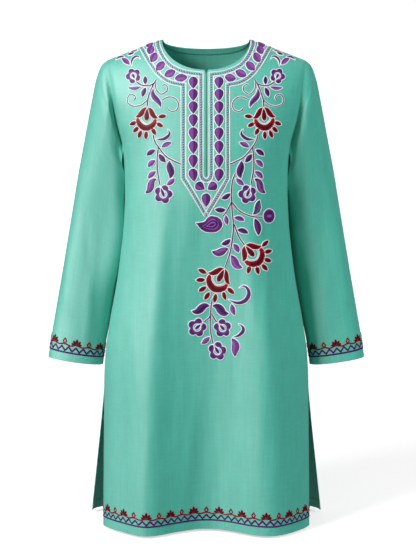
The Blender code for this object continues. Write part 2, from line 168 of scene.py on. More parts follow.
# Soft folds of both sleeves, with places and widths as shares of a turn and of the length
SLEEVE_SQUARE = 2.15
CAP_SHARE = 0.30
SEAM_HOLD = 0.015
SLEEVE_FOLD_COLUMNS = ("turn", "turn_width", "share", "share_width", "push")
SLEEVE_FOLD_ROWS = (
    (0.22, 0.10, 0.120, 0.070, 0.0010),
    (0.70, 0.10, 0.080, 0.045, -0.0070),
    (0.375, 0.060, 0.50, 0.26, -0.0220),
    (0.22, 0.075, 0.50, 0.24, 0.0050),
    (0.42, 0.06, 0.155, 0.055, -0.0060),
    (0.68, 0.055, 0.45, 0.16, -0.0060),
    (0.80, 0.060, 0.62, 0.14, -0.0040),
)

# Small creases of a sleeve, as soft lines from one (turn, share) to another. The sides differ a little.
SLEEVE_CREASE_COLUMNS = ("side", "turn0", "share0", "turn1", "share1", "width", "depth")
SLEEVE_CREASE_ROWS = (
    (-1, 0.33, 0.36, 0.36, 0.90, 24, 8.0),
    (-1, 0.10, 0.60, 0.16, 0.86, 13, -1.6),
    (-1, 0.27, 0.66, 0.30, 0.95, 12, -2.2),
    (-1, 0.16, 0.40, 0.24, 0.66, 12, 1.4),
    (-1, 0.60, 0.20, 0.72, 0.42, 14, -3.5),
    (-1, 0.86, 0.34, 0.76, 0.62, 15, -2.6),
    (-1, 0.70, 0.62, 0.82, 0.90, 14, -2.0),
    (1, 0.375, 0.16, 0.375, 0.82, 22, 15.0),
    (1, 0.320, 0.16, 0.335, 0.74, 20, 9.0),
    (1, 0.400, 0.22, 0.400, 0.72, 12, 4.0),
    (1, 0.12, 0.52, 0.15, 0.84, 14, -1.4),
    (1, 0.24, 0.62, 0.28, 0.93, 12, -1.8),
    (1, 0.18, 0.34, 0.22, 0.62, 12, 1.2),
    (1, 0.62, 0.18, 0.70, 0.46, 14, -3.2),
    (1, 0.84, 0.40, 0.78, 0.66, 14, -2.8),
    (1, 0.72, 0.66, 0.80, 0.92, 14, -1.8),
)

# The drag fold beside the armhole seam: where it stands, and how far it is raised on each side
SEAM_FOLD_COLUMNS = ("turn", "place", "raised_right", "raised_left")
SEAM_FOLD_ROWS = (
    (0.00, 0.055, 0.0, 0.0),
    (0.08, 0.055, 0.0, 0.0),
    (0.14, 0.052, 0.0008, -0.0012),
    (0.20, 0.046, 0.0012, -0.0015),
    (0.26, 0.036, 0.0008, -0.0010),
    (0.31, 0.027, 0.0, 0.0),
    (1.00, 0.012, 0.0, 0.0),
)
SEAM_FOLD_WALL = 0.014
SEAM_FOLD_REACH = {1.0: 0.22, -1.0: 0.10}

# The armhole's front edge, and how far the cloth on both sides of its seam rolls back there
ARMHOLE_COLUMNS = ("down", "x", "roll")
ARMHOLE_ROWS = (
    (1.000, 0.1690, 0.000),
    (0.955, 0.1660, 0.004),
    (0.860, 0.1705, 0.011),
    (0.720, 0.1775, 0.013),
    (0.560, 0.1830, 0.012),
    (0.360, 0.1875, 0.0065),
    (0.160, 0.1935, 0.0030),
    (0.000, 0.2000, 0.0010),
)
PANEL_ROLL_REACH = 0.005
ROLL_LEFT = 0.6
SLEEVE_ROLL_REACH = {1.0: 0.045, -1.0: 0.017}

# A sleeve's usual round and length in metres, by which its creases are drawn
SLEEVE_ROUND = 0.36
SLEEVE_REACH = 0.62

# Rows and columns of the cloth's grids
SIDE_ROWS = 150
SLIT_ROWS = 64
NECK_ROWS = 36
HALF_COLUMNS = 70
BACK_NECK_COLUMNS = 44
BACK_SHOULDER_COLUMNS = 36
FACING_COLUMNS = 60
FACING_ROWS = 4
SLEEVE_RINGS = 150
ARC_COLUMNS = 160
ARC_ROWS = 120
ARC_RISE = 0.3
STEP = 1e-4

# How far the sprays lie to the wearer's right of an even layout
FLORAL_SHIFT = 0.0015

# Thread and cloth colours, as the eye sees them (sRGB)
TEAL = (76, 198, 177)
PURPLE = (112, 52, 134)
LILAC = (150, 86, 172)
VIOLET = (66, 34, 86)
MAUVE = (86, 44, 102)
RED = (160, 14, 34)
MAROON = (50, 14, 24)
WHITE = (240, 242, 246)
BRAID = (176, 206, 208)
DROP_HEART = (118, 60, 142)
SLATE = (104, 96, 146)
INDIGO = (80, 18, 98)
CRIMSON = (136, 14, 32)
HEM_STITCH = (88, 160, 146)


def linear(colour):
    """The light a colour stands for, channel by channel."""
    c = np.array(colour) / 255
    return np.where(c <= 0.04045, c / 12.92, ((c + 0.055) / 1.055) ** 2.4)


def table(columns, rows):
    return {name: np.array(column) for name, column in zip(columns, zip(*rows))}


def rows_of(columns, rows, **chosen):
    """The rows of a table as named values, or only those of one panel or side."""
    for row in rows:
        named = dict(zip(columns, row))
        if all(named[name] == value for name, value in chosen.items()):
            yield named


def smooth(at, places, values):
    """Reads a table between its rows along a smooth curve that never overshoots them."""
    order = np.argsort(places)
    x, y = places[order], values[order]
    run = np.diff(x)
    slope = np.diff(y) / run
    tangent = np.zeros_like(y)
    same = slope[:-1] * slope[1:] > 0
    weight = run[:-1] + 2 * run[1:], 2 * run[:-1] + run[1:]
    with np.errstate(divide="ignore", invalid="ignore"):
        mean = (weight[0] + weight[1]) / (weight[0] / slope[:-1] + weight[1] / slope[1:])
    tangent[1:-1] = np.where(same, mean, 0.0)
    tangent[0], tangent[-1] = slope[0], slope[-1]
    at = np.clip(at, x[0], x[-1])
    i = np.clip(np.searchsorted(x, at) - 1, 0, len(run) - 1)
    t = (at - x[i]) / run[i]
    rest = 1 - t
    return (
        y[i] * (1 + 2 * t) * rest**2
        + tangent[i] * run[i] * t * rest**2
        + y[i + 1] * t**2 * (3 - 2 * t)
        - tangent[i + 1] * run[i] * t**2 * rest
    )


def ease(t):
    t = np.clip(t, 0, 1)
    return t * t * (3 - 2 * t)


def between(start, end, count):
    return np.linspace(start, end, count + 1)


def unit(vectors):
    return vectors / np.linalg.norm(vectors, axis=-1, keepdims=True)


def along_of(line):
    """How far along a line each of its points is."""
    return np.concatenate([[0], np.cumsum(np.linalg.norm(np.diff(line, axis=0), axis=1))])


def read_grid(values, i, j, columns=None):
    """Values of a grid at places between its rows and columns. A grid that closes round names its columns."""
    i0, j0 = i.astype(int), j.astype(int)
    a, b = i - i0, j - j0
    if values.ndim > 2:
        a, b = a[..., None], b[..., None]
    j1 = j0 + 1
    if columns:
        j0, j1 = j0 % columns, j1 % columns
    low = values[i0, j0] * (1 - b) + values[i0, j1] * b
    high = values[i0 + 1, j0] * (1 - b) + values[i0 + 1, j1] * b
    return low * (1 - a) + high * a


def rounded(angle, power):
    """A point on a unit rounded square at an angle from straight ahead."""
    across, ahead = np.sin(angle), np.cos(angle)
    reach = (np.abs(across) ** power + np.abs(ahead) ** power) ** (-1 / power)
    return reach * across, reach * ahead


BODY = table(BODY_COLUMNS, BODY_ROWS)
SLEEVE = table(SLEEVE_COLUMNS, SLEEVE_ROWS)
SEAM_FOLD = table(SEAM_FOLD_COLUMNS, SEAM_FOLD_ROWS)
ARMHOLE = table(ARMHOLE_COLUMNS, ARMHOLE_ROWS)
ARMHOLE_Z = -SHOULDER_DROP - (UNDERARM_DROP - SHOULDER_DROP) * ARMHOLE["down"]


def body(column, run):
    return smooth(run, BODY["run"], BODY[column])


def shoulder_height(x):
    def bend(across):
        out = np.abs(across) - SHOULDER_BEND_X
        return (out + np.sqrt(out**2 + SHOULDER_BEND_RADIUS**2)) / 2

    slope = SHOULDER_DROP / (bend(SHOULDER_HALF_WIDTH) - bend(NECK_HALF_WIDTH))
    return -slope * (bend(x) - bend(NECK_HALF_WIDTH))


def folds(panel, across, run):
    push = 0.0
    for fold in rows_of(FOLD_COLUMNS, FOLD_ROWS, panel=panel):
        down = np.clip((fold["top"] - run) / (fold["top"] + LENGTH), 0, 1)
        centre = fold["top_share"] + (fold["hem_share"] - fold["top_share"]) * down
        width = fold["top_width"] + (fold["hem_width"] - fold["top_width"]) * down
        push = push + fold["push"] * ease(down ** fold["rise"]) * np.exp(-(((across - centre) / width) ** 2))
    return push


def beside_line(start, end, x, z):
    """How far along a line a place lies, as a share of the line, and how far aside of it."""
    along = end - start
    length = np.hypot(*along)
    along = along / length
    dx, dz = x - start[0], z - start[1]
    return (dx * along[0] + dz * along[1]) / length, dx * along[1] - dz * along[0]


def faded(t, run, start):
    """Fades a crease out towards both of its ends."""
    return ease(t / run + start) * ease((1 - t) / run + start)


def creases(panel, x, z):
    """Small soft troughs and ridges along lines, faded at both ends."""
    push = 0.0
    for crease in rows_of(CREASE_COLUMNS, CREASE_ROWS, panel=panel):
        start = np.array([crease["x0"], crease["z0"]]) / 1000
        end = np.array([crease["x1"], crease["z1"]]) / 1000
        t, aside = beside_line(start, end, x, z)
        aside = aside + 0.006 * np.sin(3.1 * t + crease["x0"])
        width = crease["width"] / 1000 * (0.75 + 0.5 * np.clip(t, 0, 1))
        push = push + crease["depth"] / 1000 * faded(t, 0.45, 0.25) * np.exp(-((aside / width) ** 2))
    return push


def ripples(panel, x, z):
    """The faint uneven waves of worn cloth, long down the garment and short across it."""
    push = 0.0
    for across, down, start, height in RIPPLE_ROWS:
        bend = 1.3 * np.sin(z / down * 9 + RIPPLE_SHIFT[panel])
        push = push + height * np.sin(2 * math.pi * (x / across + z / down + start) + bend)
    return push / 1000 * ease((RIPPLE_TOP - z) / RIPPLE_FADE)


def armhole_roll(x, z):
    """How far the front's cloth rolls back close to the armhole seam."""
    inside = np.interp(z, ARMHOLE_Z, ARMHOLE["x"]) - np.abs(x)
    roll = smooth(z, ARMHOLE_Z, ARMHOLE["roll"]) * (z > ARMHOLE_Z[0]) * np.where(x > 0, ROLL_LEFT, 1.0)
    return roll * np.exp(-((inside / PANEL_ROLL_REACH) ** 2))


def panel_point(panel, turn, run):
    sign = SIGN[panel]
    half, depth = body(panel + "_half", run), body(panel + "_depth", run)
    edge = body(panel + "_edge_y", run) + sign * SEAM_GAP / 2
    across, ahead = rounded(turn * math.pi / 2, body("square", run))
    x = half * across
    y = edge * (1 - ahead) + sign * depth * ahead
    relief = folds(panel, across, run) + creases(panel, x, run) + ripples(panel, x, run)
    y = y + sign * relief * ease(ahead * 1.8)
    roll = np.maximum(run - ROLL_START, 0) / ROLL_RUN * math.pi / 2
    up, level = rounded(roll, ROLL[panel])
    seam = SHOULDER_SEAM_Y + sign * SEAM_GAP / 2
    y = seam + (y - seam) * level
    z = np.where(run > ROLL_START, ROLL_START + (shoulder_height(x) - ROLL_START) * up, run)
    if panel == "front":
        y = y + armhole_roll(x, z)
    return np.stack([x, y, z], axis=-1)


def panel_place(panel, x, z):
    """The (turn, run) of the point of a panel that is seen from the front at x, z."""
    up = np.clip((z - ROLL_START) / (shoulder_height(x) - ROLL_START), 0, 1)
    level = (1 - up ** ROLL[panel]) ** (1 / ROLL[panel])
    run = np.where(z > ROLL_START, ROLL_START + np.arctan2(up, level) / (math.pi / 2) * ROLL_RUN, z)
    power = body("square", run)
    share = np.clip(np.abs(x) / body(panel + "_half", run), 0, 1)
    ahead = (1 - share**power) ** (1 / power)
    return np.sign(x) * np.arctan2(share, ahead) / (math.pi / 2), run


def facing_out(point, turn, run, flip):
    along = point(turn + STEP, run) - point(turn - STEP, run)
    down = point(turn, run + STEP) - point(turn, run - STEP)
    return unit(np.cross(along, down) * flip)


def panel_normal(panel, turn, run):
    return facing_out(lambda t, r: panel_point(panel, t, r), turn, run, -SIGN[panel])


def armhole(panel):
    """(turn, run) down the armhole of the +X half: underarm first, shoulder point last."""
    turn, run = panel_place(panel, ARMHOLE["x"], ARMHOLE_Z)
    turn[0], run[-1] = 1.0, TOP
    place = panel_point(panel, turn, run)
    along = along_of(place)
    at = between(0, along[-1], SLIT_ROWS + NECK_ROWS)
    return smooth(at, along, turn), smooth(at, along, run)


def side_runs():
    hem_top = -LENGTH + HEM_ALLOWANCE
    low = between(-LENGTH, hem_top, 5)
    return np.concatenate([low, between(hem_top + 0.0012, -UNDERARM_DROP, SIDE_ROWS - 6)])


def outer_edge(panel):
    """(turn, run) up the +X edge of a panel, and the runs of its side below the armhole."""
    turn, run = armhole(panel)
    runs = side_runs()
    return np.concatenate([np.ones(len(runs) - 1), turn]), np.concatenate([runs[:-1], run]), runs


def back_neck(count):
    """(turn, run) along the back's neck edge, from -X to +X."""
    round_it = between(-math.pi / 2, math.pi / 2, count)
    x, z = NECK_HALF_WIDTH * np.sin(round_it), -BACK_NECK_DROP * np.cos(round_it)
    turn, run = panel_place("back", x, z)
    run[[0, -1]] = TOP
    return turn, run


def front_grid():
    """(turn, run) of the +X half of the front, rows from the hem up and columns from the centre out."""
    outer_turn, outer_run, runs = outer_edge("front")
    hem_top = -LENGTH + HEM_ALLOWANCE
    stretch = (runs - hem_top) / (runs[-1] - hem_top)
    centre = np.where(runs > hem_top, hem_top + stretch * (-NECK_SLIT_BOTTOM - hem_top), runs)
    notch_bottom = -FRONT_NECK_DROP - NECK_NOTCH_DEPTH
    slit_z = np.concatenate([between(-NECK_SLIT_BOTTOM, notch_bottom, SLIT_ROWS - 1), [-FRONT_NECK_DROP]])
    slit_x = np.concatenate([[0], np.full(SLIT_ROWS - 1, NECK_SLIT_WIDTH / 2), [NECK_NOTCH_WIDTH / 2]])
    round_it = between(0, math.pi / 2, NECK_ROWS)
    neck_x = NECK_NOTCH_WIDTH / 2 + (NECK_HALF_WIDTH - NECK_NOTCH_WIDTH / 2) * np.sin(round_it)
    neck_z = -FRONT_NECK_DROP * np.cos(round_it)
    x = np.concatenate([slit_x[1:], neck_x[1:]])
    z = np.concatenate([slit_z[1:], neck_z[1:]])
    inner_turn, inner_run = panel_place("front", x, z)
    inner_turn = np.concatenate([np.zeros(len(runs)), inner_turn])
    inner_run = np.concatenate([centre, inner_run])
    inner_run[-1] = TOP
    share = between(0, 1, HALF_COLUMNS)
    turn = inner_turn[:, None] + (outer_turn - inner_turn)[:, None] * share
    run = inner_run[:, None] + (outer_run - inner_run)[:, None] * share
    return turn, run


def back_grid():
    """(turn, run) of the whole back, rows from the hem up and columns from -X to +X."""
    outer_turn, outer_run, _ = outer_edge("back")
    curve_turn, curve_run = back_neck(BACK_NECK_COLUMNS)
    left = between(-outer_turn[-1], curve_turn[0], BACK_SHOULDER_COLUMNS)[:-1]
    level = np.full(BACK_SHOULDER_COLUMNS, TOP)
    top_turn = np.concatenate([left, curve_turn, -left[::-1]])
    top_run = np.concatenate([level, curve_run, level])
    turn = outer_turn[:, None] * (top_turn / outer_turn[-1])
    reach = np.clip((outer_run - ROLL_START) / ROLL_RUN, 0, 1)[:, None]
    run = outer_run[:, None] + reach**1.5 * (top_run - TOP)
    return turn, run


def sleeve_line(share):
    read = {name: smooth(share, SLEEVE["share"], SLEEVE[name]) for name in SLEEVE_COLUMNS[1:]}
    outer = np.stack([read["outer_x"], read["centre_y"], read["outer_z"]], axis=-1)
    inner = np.stack([read["inner_x"], read["centre_y"], read["inner_z"]], axis=-1)
    return outer, inner, read["half_depth"]


def sleeve_point(round_it, share):
    outer, inner, depth = sleeve_line(share)
    aside, along = rounded(round_it * 2 * math.pi, SLEEVE_SQUARE)
    middle, arm = (outer + inner) / 2, (outer - inner) / 2
    point = middle + arm * along[..., None]
    point[..., 1] -= depth * aside
    return point


def sleeve_folds(round_it, share):
    push = 0.0
    for fold in rows_of(SLEEVE_FOLD_COLUMNS, SLEEVE_FOLD_ROWS):
        aside = (round_it - fold["turn"]) / fold["turn_width"]
        down = (share - fold["share"]) / fold["share_width"]
        push = push + fold["push"] * np.exp(-(aside**2) - down**2)
    return push


def sleeve_creases(side, round_it, share):
    push = 0.0
    for crease in rows_of(SLEEVE_CREASE_COLUMNS, SLEEVE_CREASE_ROWS, side=side):
        start = np.array([crease["turn0"] * SLEEVE_ROUND, crease["share0"] * SLEEVE_REACH])
        end = np.array([crease["turn1"] * SLEEVE_ROUND, crease["share1"] * SLEEVE_REACH])
        t, aside = beside_line(start, end, round_it * SLEEVE_ROUND, share * SLEEVE_REACH)
        aside = aside + 0.004 * np.sin(3 * t + crease["turn0"] * 9)
        width = crease["width"] / 1000
        push = push + crease["depth"] / 1000 * faded(t, 0.5, 0.3) * np.exp(-((aside / width) ** 2))
    return push


def seam_fold(side, round_it, share):
    """A steep wall near the armhole seam, facing the wearer's left on both sides, and a long slope."""
    raised = SEAM_FOLD["raised_left" if side > 0 else "raised_right"]
    past = share - np.interp(round_it, SEAM_FOLD["turn"], SEAM_FOLD["place"])
    wall = ease(past / SEAM_FOLD_WALL + 0.5) * ease(share / 0.010)
    slope = np.exp(-np.maximum(past, 0) / SEAM_FOLD_REACH[side])
    return np.interp(round_it, SEAM_FOLD["turn"], raised) * wall * slope


def armhole_loop(side):
    sides = {}
    mirror = np.array([side, 1.0, 1.0])
    for panel in ("front", "back"):
        turn, run = armhole(panel)
        outer = panel_point(panel, turn * side, run) * mirror
        normal = panel_normal(panel, turn * side, run) * mirror
        away = unit(np.cross(np.gradient(outer, axis=0), normal))
        away *= np.sign(away[:, :1])
        sides[panel] = outer, away
    loop = []
    for front, back in zip(sides["front"], sides["back"]):
        shoulder, underarm = (front[-1] + back[-1]) / 2, (front[0] + back[0]) / 2
        loop.append(np.concatenate([[shoulder], front[-2:0:-1], [underarm], back[1:-1]]))
    return loop


def tube_normals(ring):
    round_it = np.roll(ring, -1, axis=1) - np.roll(ring, 1, axis=1)
    normal = unit(np.cross(np.gradient(ring, axis=0), round_it))
    centre = ring.mean(axis=1, keepdims=True)
    return normal * np.sign(((ring - centre) * normal).sum(axis=(1, 2), keepdims=True))


def sleeve_outer(side):
    """One sleeve's outer points on +X, as (ring, place round it), each ring's share, and the cuff hem's."""
    loop, away = armhole_loop(side)
    count = len(loop)
    cuff_row = 1 - CUFF_ALLOWANCE / np.linalg.norm(np.subtract(*sleeve_line(np.array([0.0, 1.0]))[0]))
    shares = between(0, 1, SLEEVE_RINGS - 8) ** 1.15 * (cuff_row - 0.002)
    shares = np.concatenate([shares, between(cuff_row, 1.0, 6)])
    turn, share = np.meshgrid(np.arange(count) / count, shares)
    point = sleeve_point(turn, share)
    normal = facing_out(sleeve_point, turn, share, -1.0)
    fade = 1 - ease(share / CAP_SHARE)
    seam = loop + SEAM_GAP * away
    rolled = np.zeros_like(seam)
    half = count // 2
    rolled[: half + 1, 1] = armhole_roll(loop[: half + 1, 0] * side, loop[: half + 1, 2])
    roll = rolled * np.exp(-((share / SLEEVE_ROLL_REACH[side]) ** 2))[..., None]
    free = 1 - np.exp(-((share / SEAM_HOLD) ** 2))
    push = (sleeve_folds(turn, share) + sleeve_creases(side, turn, share)) * free
    push = push + seam_fold(side, turn, share)
    point = point + fade[..., None] * (seam - rolled - point[0]) + roll + push[..., None] * normal
    return point, shares, cuff_row


def grid_quads(number, closed=False):
    rows, columns = number.shape
    nearer = number if closed else number[:, :-1]
    further = np.roll(number, -1, axis=1) if closed else number[:, 1:]
    return np.stack([nearer[:-1], further[:-1], further[1:], nearer[1:]], axis=-1).reshape(-1, 4)


def link(name, mesh, material):
    piece = bpy.data.objects.new(name, mesh)
    bpy.context.scene.collection.objects.link(piece)
    mesh.materials.append(material)
    return piece


def shell(name, outer, inner, quads, uv, material):
    """A closed thin shell of two faces and their rim, with the cloth's own flat measure as its UV map."""
    count = len(outer)
    edges = np.concatenate([quads[:, [i, (i + 1) % 4]] for i in range(4)])
    key = np.sort(edges, axis=1)
    _, first, times = np.unique(key, axis=0, return_index=True, return_counts=True)
    rim = edges[first[times == 1]]
    sides = np.stack([rim[:, 1], rim[:, 0], rim[:, 0] + count, rim[:, 1] + count], axis=-1)
    faces = np.concatenate([quads, quads[:, ::-1] + count, sides])
    mesh = bpy.data.meshes.new(name)
    mesh.from_pydata(np.concatenate([outer, inner]).tolist(), [], faces.tolist())
    layer = mesh.uv_layers.new(name="ClothMetres")
    layer.data.foreach_set("uv", np.concatenate([uv, uv])[faces.ravel()].astype(np.float32).ravel())
    mesh.shade_smooth()
    mesh.set_sharp_from_angle(angle=math.radians(55))
    return link(name, mesh, material)


def arc_table(panel):
    """Cloth width from the centre line out, for each run, measured along the panel."""
    turn, run = np.meshgrid(between(0, 1, ARC_COLUMNS), between(-LENGTH, TOP, ARC_ROWS))
    place = panel_point(panel, turn, run)
    place[..., 2] *= ARC_RISE
    steps = np.linalg.norm(np.diff(place, axis=1), axis=2)
    return np.concatenate([np.zeros((ARC_ROWS + 1, 1)), np.cumsum(steps, axis=1)], axis=1)


ARC = {panel: arc_table(panel) for panel in ("front", "back")}


def flat_place(panel, turn, run):
    """Flat (across, up) of a point of a panel, in metres from the centre line and the shoulder."""
    i = np.clip((run + LENGTH) / (TOP + LENGTH) * ARC_ROWS, 0, ARC_ROWS - 0.001)
    j = np.clip(np.abs(turn) * ARC_COLUMNS, 0, ARC_COLUMNS - 0.001)
    return np.stack([np.sign(turn) * read_grid(ARC[panel], i, j), run], axis=-1)


def panel_shell(name, panel, turn, run, quads, material):
    outer = panel_point(panel, turn, run)
    thickness = np.where(run <= -LENGTH + HEM_ALLOWANCE + STEP, HEM_CLOTH, CLOTH)[:, None]
    inner = outer - thickness * panel_normal(panel, turn, run)
    return shell(name, outer, inner, quads, flat_place(panel, turn, run), material)


def make_front(material):
    turn, run = front_grid()
    rows, columns = turn.shape
    closed_rows = len(side_runs())
    right = np.arange(rows * columns).reshape(rows, columns)
    left = right + rows * columns
    left[:closed_rows, 0] = right[:closed_rows, 0]
    quads = np.concatenate([grid_quads(right), grid_quads(left)[:, ::-1]])
    kept, place = np.unique(quads, return_inverse=True)
    turn = np.concatenate([turn.ravel(), -turn.ravel()])[kept]
    run = np.concatenate([run.ravel(), run.ravel()])[kept]
    return panel_shell("cloth_front", "front", turn, run, place.reshape(-1, 4), material)


def make_back(material):
    turn, run = back_grid()
    quads = grid_quads(np.arange(turn.size).reshape(turn.shape))[:, ::-1]
    return panel_shell("cloth_back", "back", turn.ravel(), run.ravel(), quads, material)


def make_facing(material):
    """The narrow facing strip inside the back neck."""
    turn, run = back_neck(FACING_COLUMNS)
    down = between(0, FACING_WIDTH, FACING_ROWS)
    turn = np.broadcast_to(turn, (len(down), len(turn)))
    run = run - down[:, None]
    number = np.arange(turn.size).reshape(turn.shape)
    point, normal = panel_point("back", turn, run), panel_normal("back", turn, run)
    near = CLOTH + SEAM_GAP
    outer = (point - near * normal).reshape(-1, 3)
    inner = (point - (near + FACING_CLOTH) * normal).reshape(-1, 3)
    uv = flat_place("back", turn, run).reshape(-1, 2)
    return shell("cloth_neck_facing", outer, inner, grid_quads(number), uv, material)


class SleeveMap:
    """The outer surface of one sleeve as a smooth function of (turn, share), read off its rings."""

    def __init__(self, side):
        rings, self.shares, self.cuff_row = sleeve_outer(side)
        self.rings = rings * np.array([side, 1.0, 1.0])
        self.normals = tube_normals(self.rings)
        self.side = side
        last = self.rings[-1]
        steps = np.linalg.norm(np.roll(last, -1, axis=0) - last, axis=1)
        self.cuff_round = steps.sum()
        self.cuff_along = np.concatenate([[0], np.cumsum(steps)])
        outer, inner, _ = sleeve_line(np.array([0.0, 1.0]))
        self.length = (np.linalg.norm(outer[1] - outer[0]) + np.linalg.norm(inner[1] - inner[0])) / 2

    def read(self, values, across, up):
        """Values at across metres round the cuff from the outer line, and up metres from the cuff's edge."""
        count = self.rings.shape[1]
        j = np.interp(np.mod(across, self.cuff_round), self.cuff_along, np.arange(count + 1))
        i = np.interp(1 - up / self.length, self.shares, np.arange(len(self.shares)))
        return read_grid(values, np.clip(i, 0, len(self.shares) - 1.001), j, count)

    def __call__(self, across, up, height):
        normal = unit(self.read(self.normals, across, up))
        return self.read(self.rings, across, up) + normal * height[..., None]


def make_sleeve(name, sleeve, material):
    outer = sleeve.rings
    rings, places = outer.shape[:2]
    thickness = np.where(sleeve.shares >= sleeve.cuff_row - 1e-9, HEM_CLOTH, CLOTH)[:, None, None]
    inner = outer - thickness * sleeve.normals
    steps = np.linalg.norm(np.diff(outer, axis=1), axis=2)
    across = np.concatenate([np.zeros((rings, 1)), np.cumsum(steps, axis=1)], axis=1)
    up = np.broadcast_to((1 - sleeve.shares)[:, None] * sleeve.length, across.shape)
    uv = np.stack([across, up], axis=-1).reshape(-1, 2)
    quads = grid_quads(np.arange(rings * places).reshape(rings, places), closed=True)
    if sleeve.side < 0:
        quads = quads[:, ::-1]
    return shell(name, outer.reshape(-1, 3), inner.reshape(-1, 3), quads, uv, material)


# Materials


WEAVE_PITCH = 0.00085


def node(tree, kind, inputs, **settings):
    """A node, whose inputs are fixed values or other nodes' outputs."""
    made = tree.nodes.new(kind)
    for name, value in settings.items():
        setattr(made, name, value)
    for place, value in inputs.items():
        if isinstance(value, bpy.types.NodeSocket):
            tree.links.new(value, made.inputs[place])
        else:
            made.inputs[place].default_value = value
    return made


def new_material(name, roughness, specular):
    material = bpy.data.materials.new(name)
    material.use_nodes = True
    shader = material.node_tree.nodes["Principled BSDF"]
    shader.inputs["Roughness"].default_value = roughness
    shader.inputs["Metallic"].default_value = 0.0
    shader.inputs["Specular IOR Level"].default_value = specular
    return material, material.node_tree, shader


def math_node(tree, operation, *values):
    return node(tree, "ShaderNodeMath", dict(enumerate(values)), operation=operation).outputs[0]


def stretched_noise(tree, coordinates, scale, detail):
    mapping = node(tree, "ShaderNodeMapping", {"Scale": scale, "Vector": coordinates})
    inputs = {"Scale": 1.0, "Detail": detail, "Vector": mapping.outputs[0]}
    return node(tree, "ShaderNodeTexNoise", inputs).outputs["Fac"]


def toned(tree, shader, colour, tone):
    """Gives a material its colour, darkened and lightened by a tone."""
    inputs = {"Factor": 1.0, 6: colour, 7: tone}
    mix = node(tree, "ShaderNodeMix", inputs, data_type="RGBA", blend_type="MULTIPLY")
    tree.links.new(mix.outputs[2], shader.inputs["Base Color"])


def bumped(tree, shader, height, strength, distance):
    inputs = {"Strength": strength, "Distance": distance, "Height": height}
    tree.links.new(node(tree, "ShaderNodeBump", inputs).outputs[0], shader.inputs["Normal"])


def cloth_material(name, colour, painted_light_scale=1.0):
    """Slubby plain weave: threads both ways, uneven thick threads, soft mottling and a light nap. A scale
    above 1 lightens the colour as painted light.
    """
    material, tree, shader = new_material(name, 0.6, 1.0)
    uv = node(tree, "ShaderNodeUVMap", {}, uv_map="ClothMetres").outputs[0]
    warp = stretched_noise(tree, uv, (620, 22, 1), 3.0)
    weft = stretched_noise(tree, uv, (26, 480, 1), 3.0)
    mottle = stretched_noise(tree, uv, (34, 26, 1), 4.0)
    split = node(tree, "ShaderNodeSeparateXYZ", {0: uv})
    threads = []
    for across in (0, 1):
        waves = math_node(tree, "MULTIPLY", split.outputs[across], 2 * math.pi / WEAVE_PITCH)
        threads.append(math_node(tree, "SINE", waves))
    weave = math_node(tree, "MULTIPLY", *threads)
    slub = math_node(tree, "ADD", warp, weft)
    streaks = stretched_noise(tree, uv, (210, 7, 1), 2.0)
    tone = math_node(tree, "MULTIPLY_ADD", slub, 0.22, 0.78)
    tone = math_node(tree, "MULTIPLY_ADD", streaks, 0.20, math_node(tree, "SUBTRACT", tone, 0.10))
    tone = math_node(tree, "MULTIPLY_ADD", mottle, 0.16, math_node(tree, "SUBTRACT", tone, 0.08))
    tone = math_node(tree, "MULTIPLY_ADD", weave, 0.025, tone)
    # A scale above 1 lightens the colour as painted light, for cloth that lies in shade.
    toned(tree, shader, (*(linear(colour) * painted_light_scale), 1.0), tone)
    shader.inputs["Sheen Weight"].default_value = 0.25
    shader.inputs["Sheen Roughness"].default_value = 0.5
    bumped(tree, shader, math_node(tree, "MULTIPLY_ADD", weave, 0.25, slub), 0.6, 0.00035)
    return material


def thread_material(name):
    """Stitched thread: the colour rides on each stitch, with fine strands across and a satin gloss."""
    material, tree, shader = new_material(name, 0.5, 0.12)
    uv = node(tree, "ShaderNodeUVMap", {}, uv_map="ThreadMetres").outputs[0]
    tint = node(tree, "ShaderNodeVertexColor", {}, layer_name="Thread").outputs[0]
    strands = stretched_noise(tree, uv, (1500, 160, 1), 2.0)
    patches = stretched_noise(tree, uv, (420, 90, 1), 1.0)
    tone = math_node(tree, "MULTIPLY_ADD", strands, 0.5, 0.70)
    tone = math_node(tree, "MULTIPLY_ADD", patches, 0.5, math_node(tree, "SUBTRACT", tone, 0.12))
    toned(tree, shader, tint, tone)
    bumped(tree, shader, strands, 0.7, 0.0003)
    return material


# Stitched work


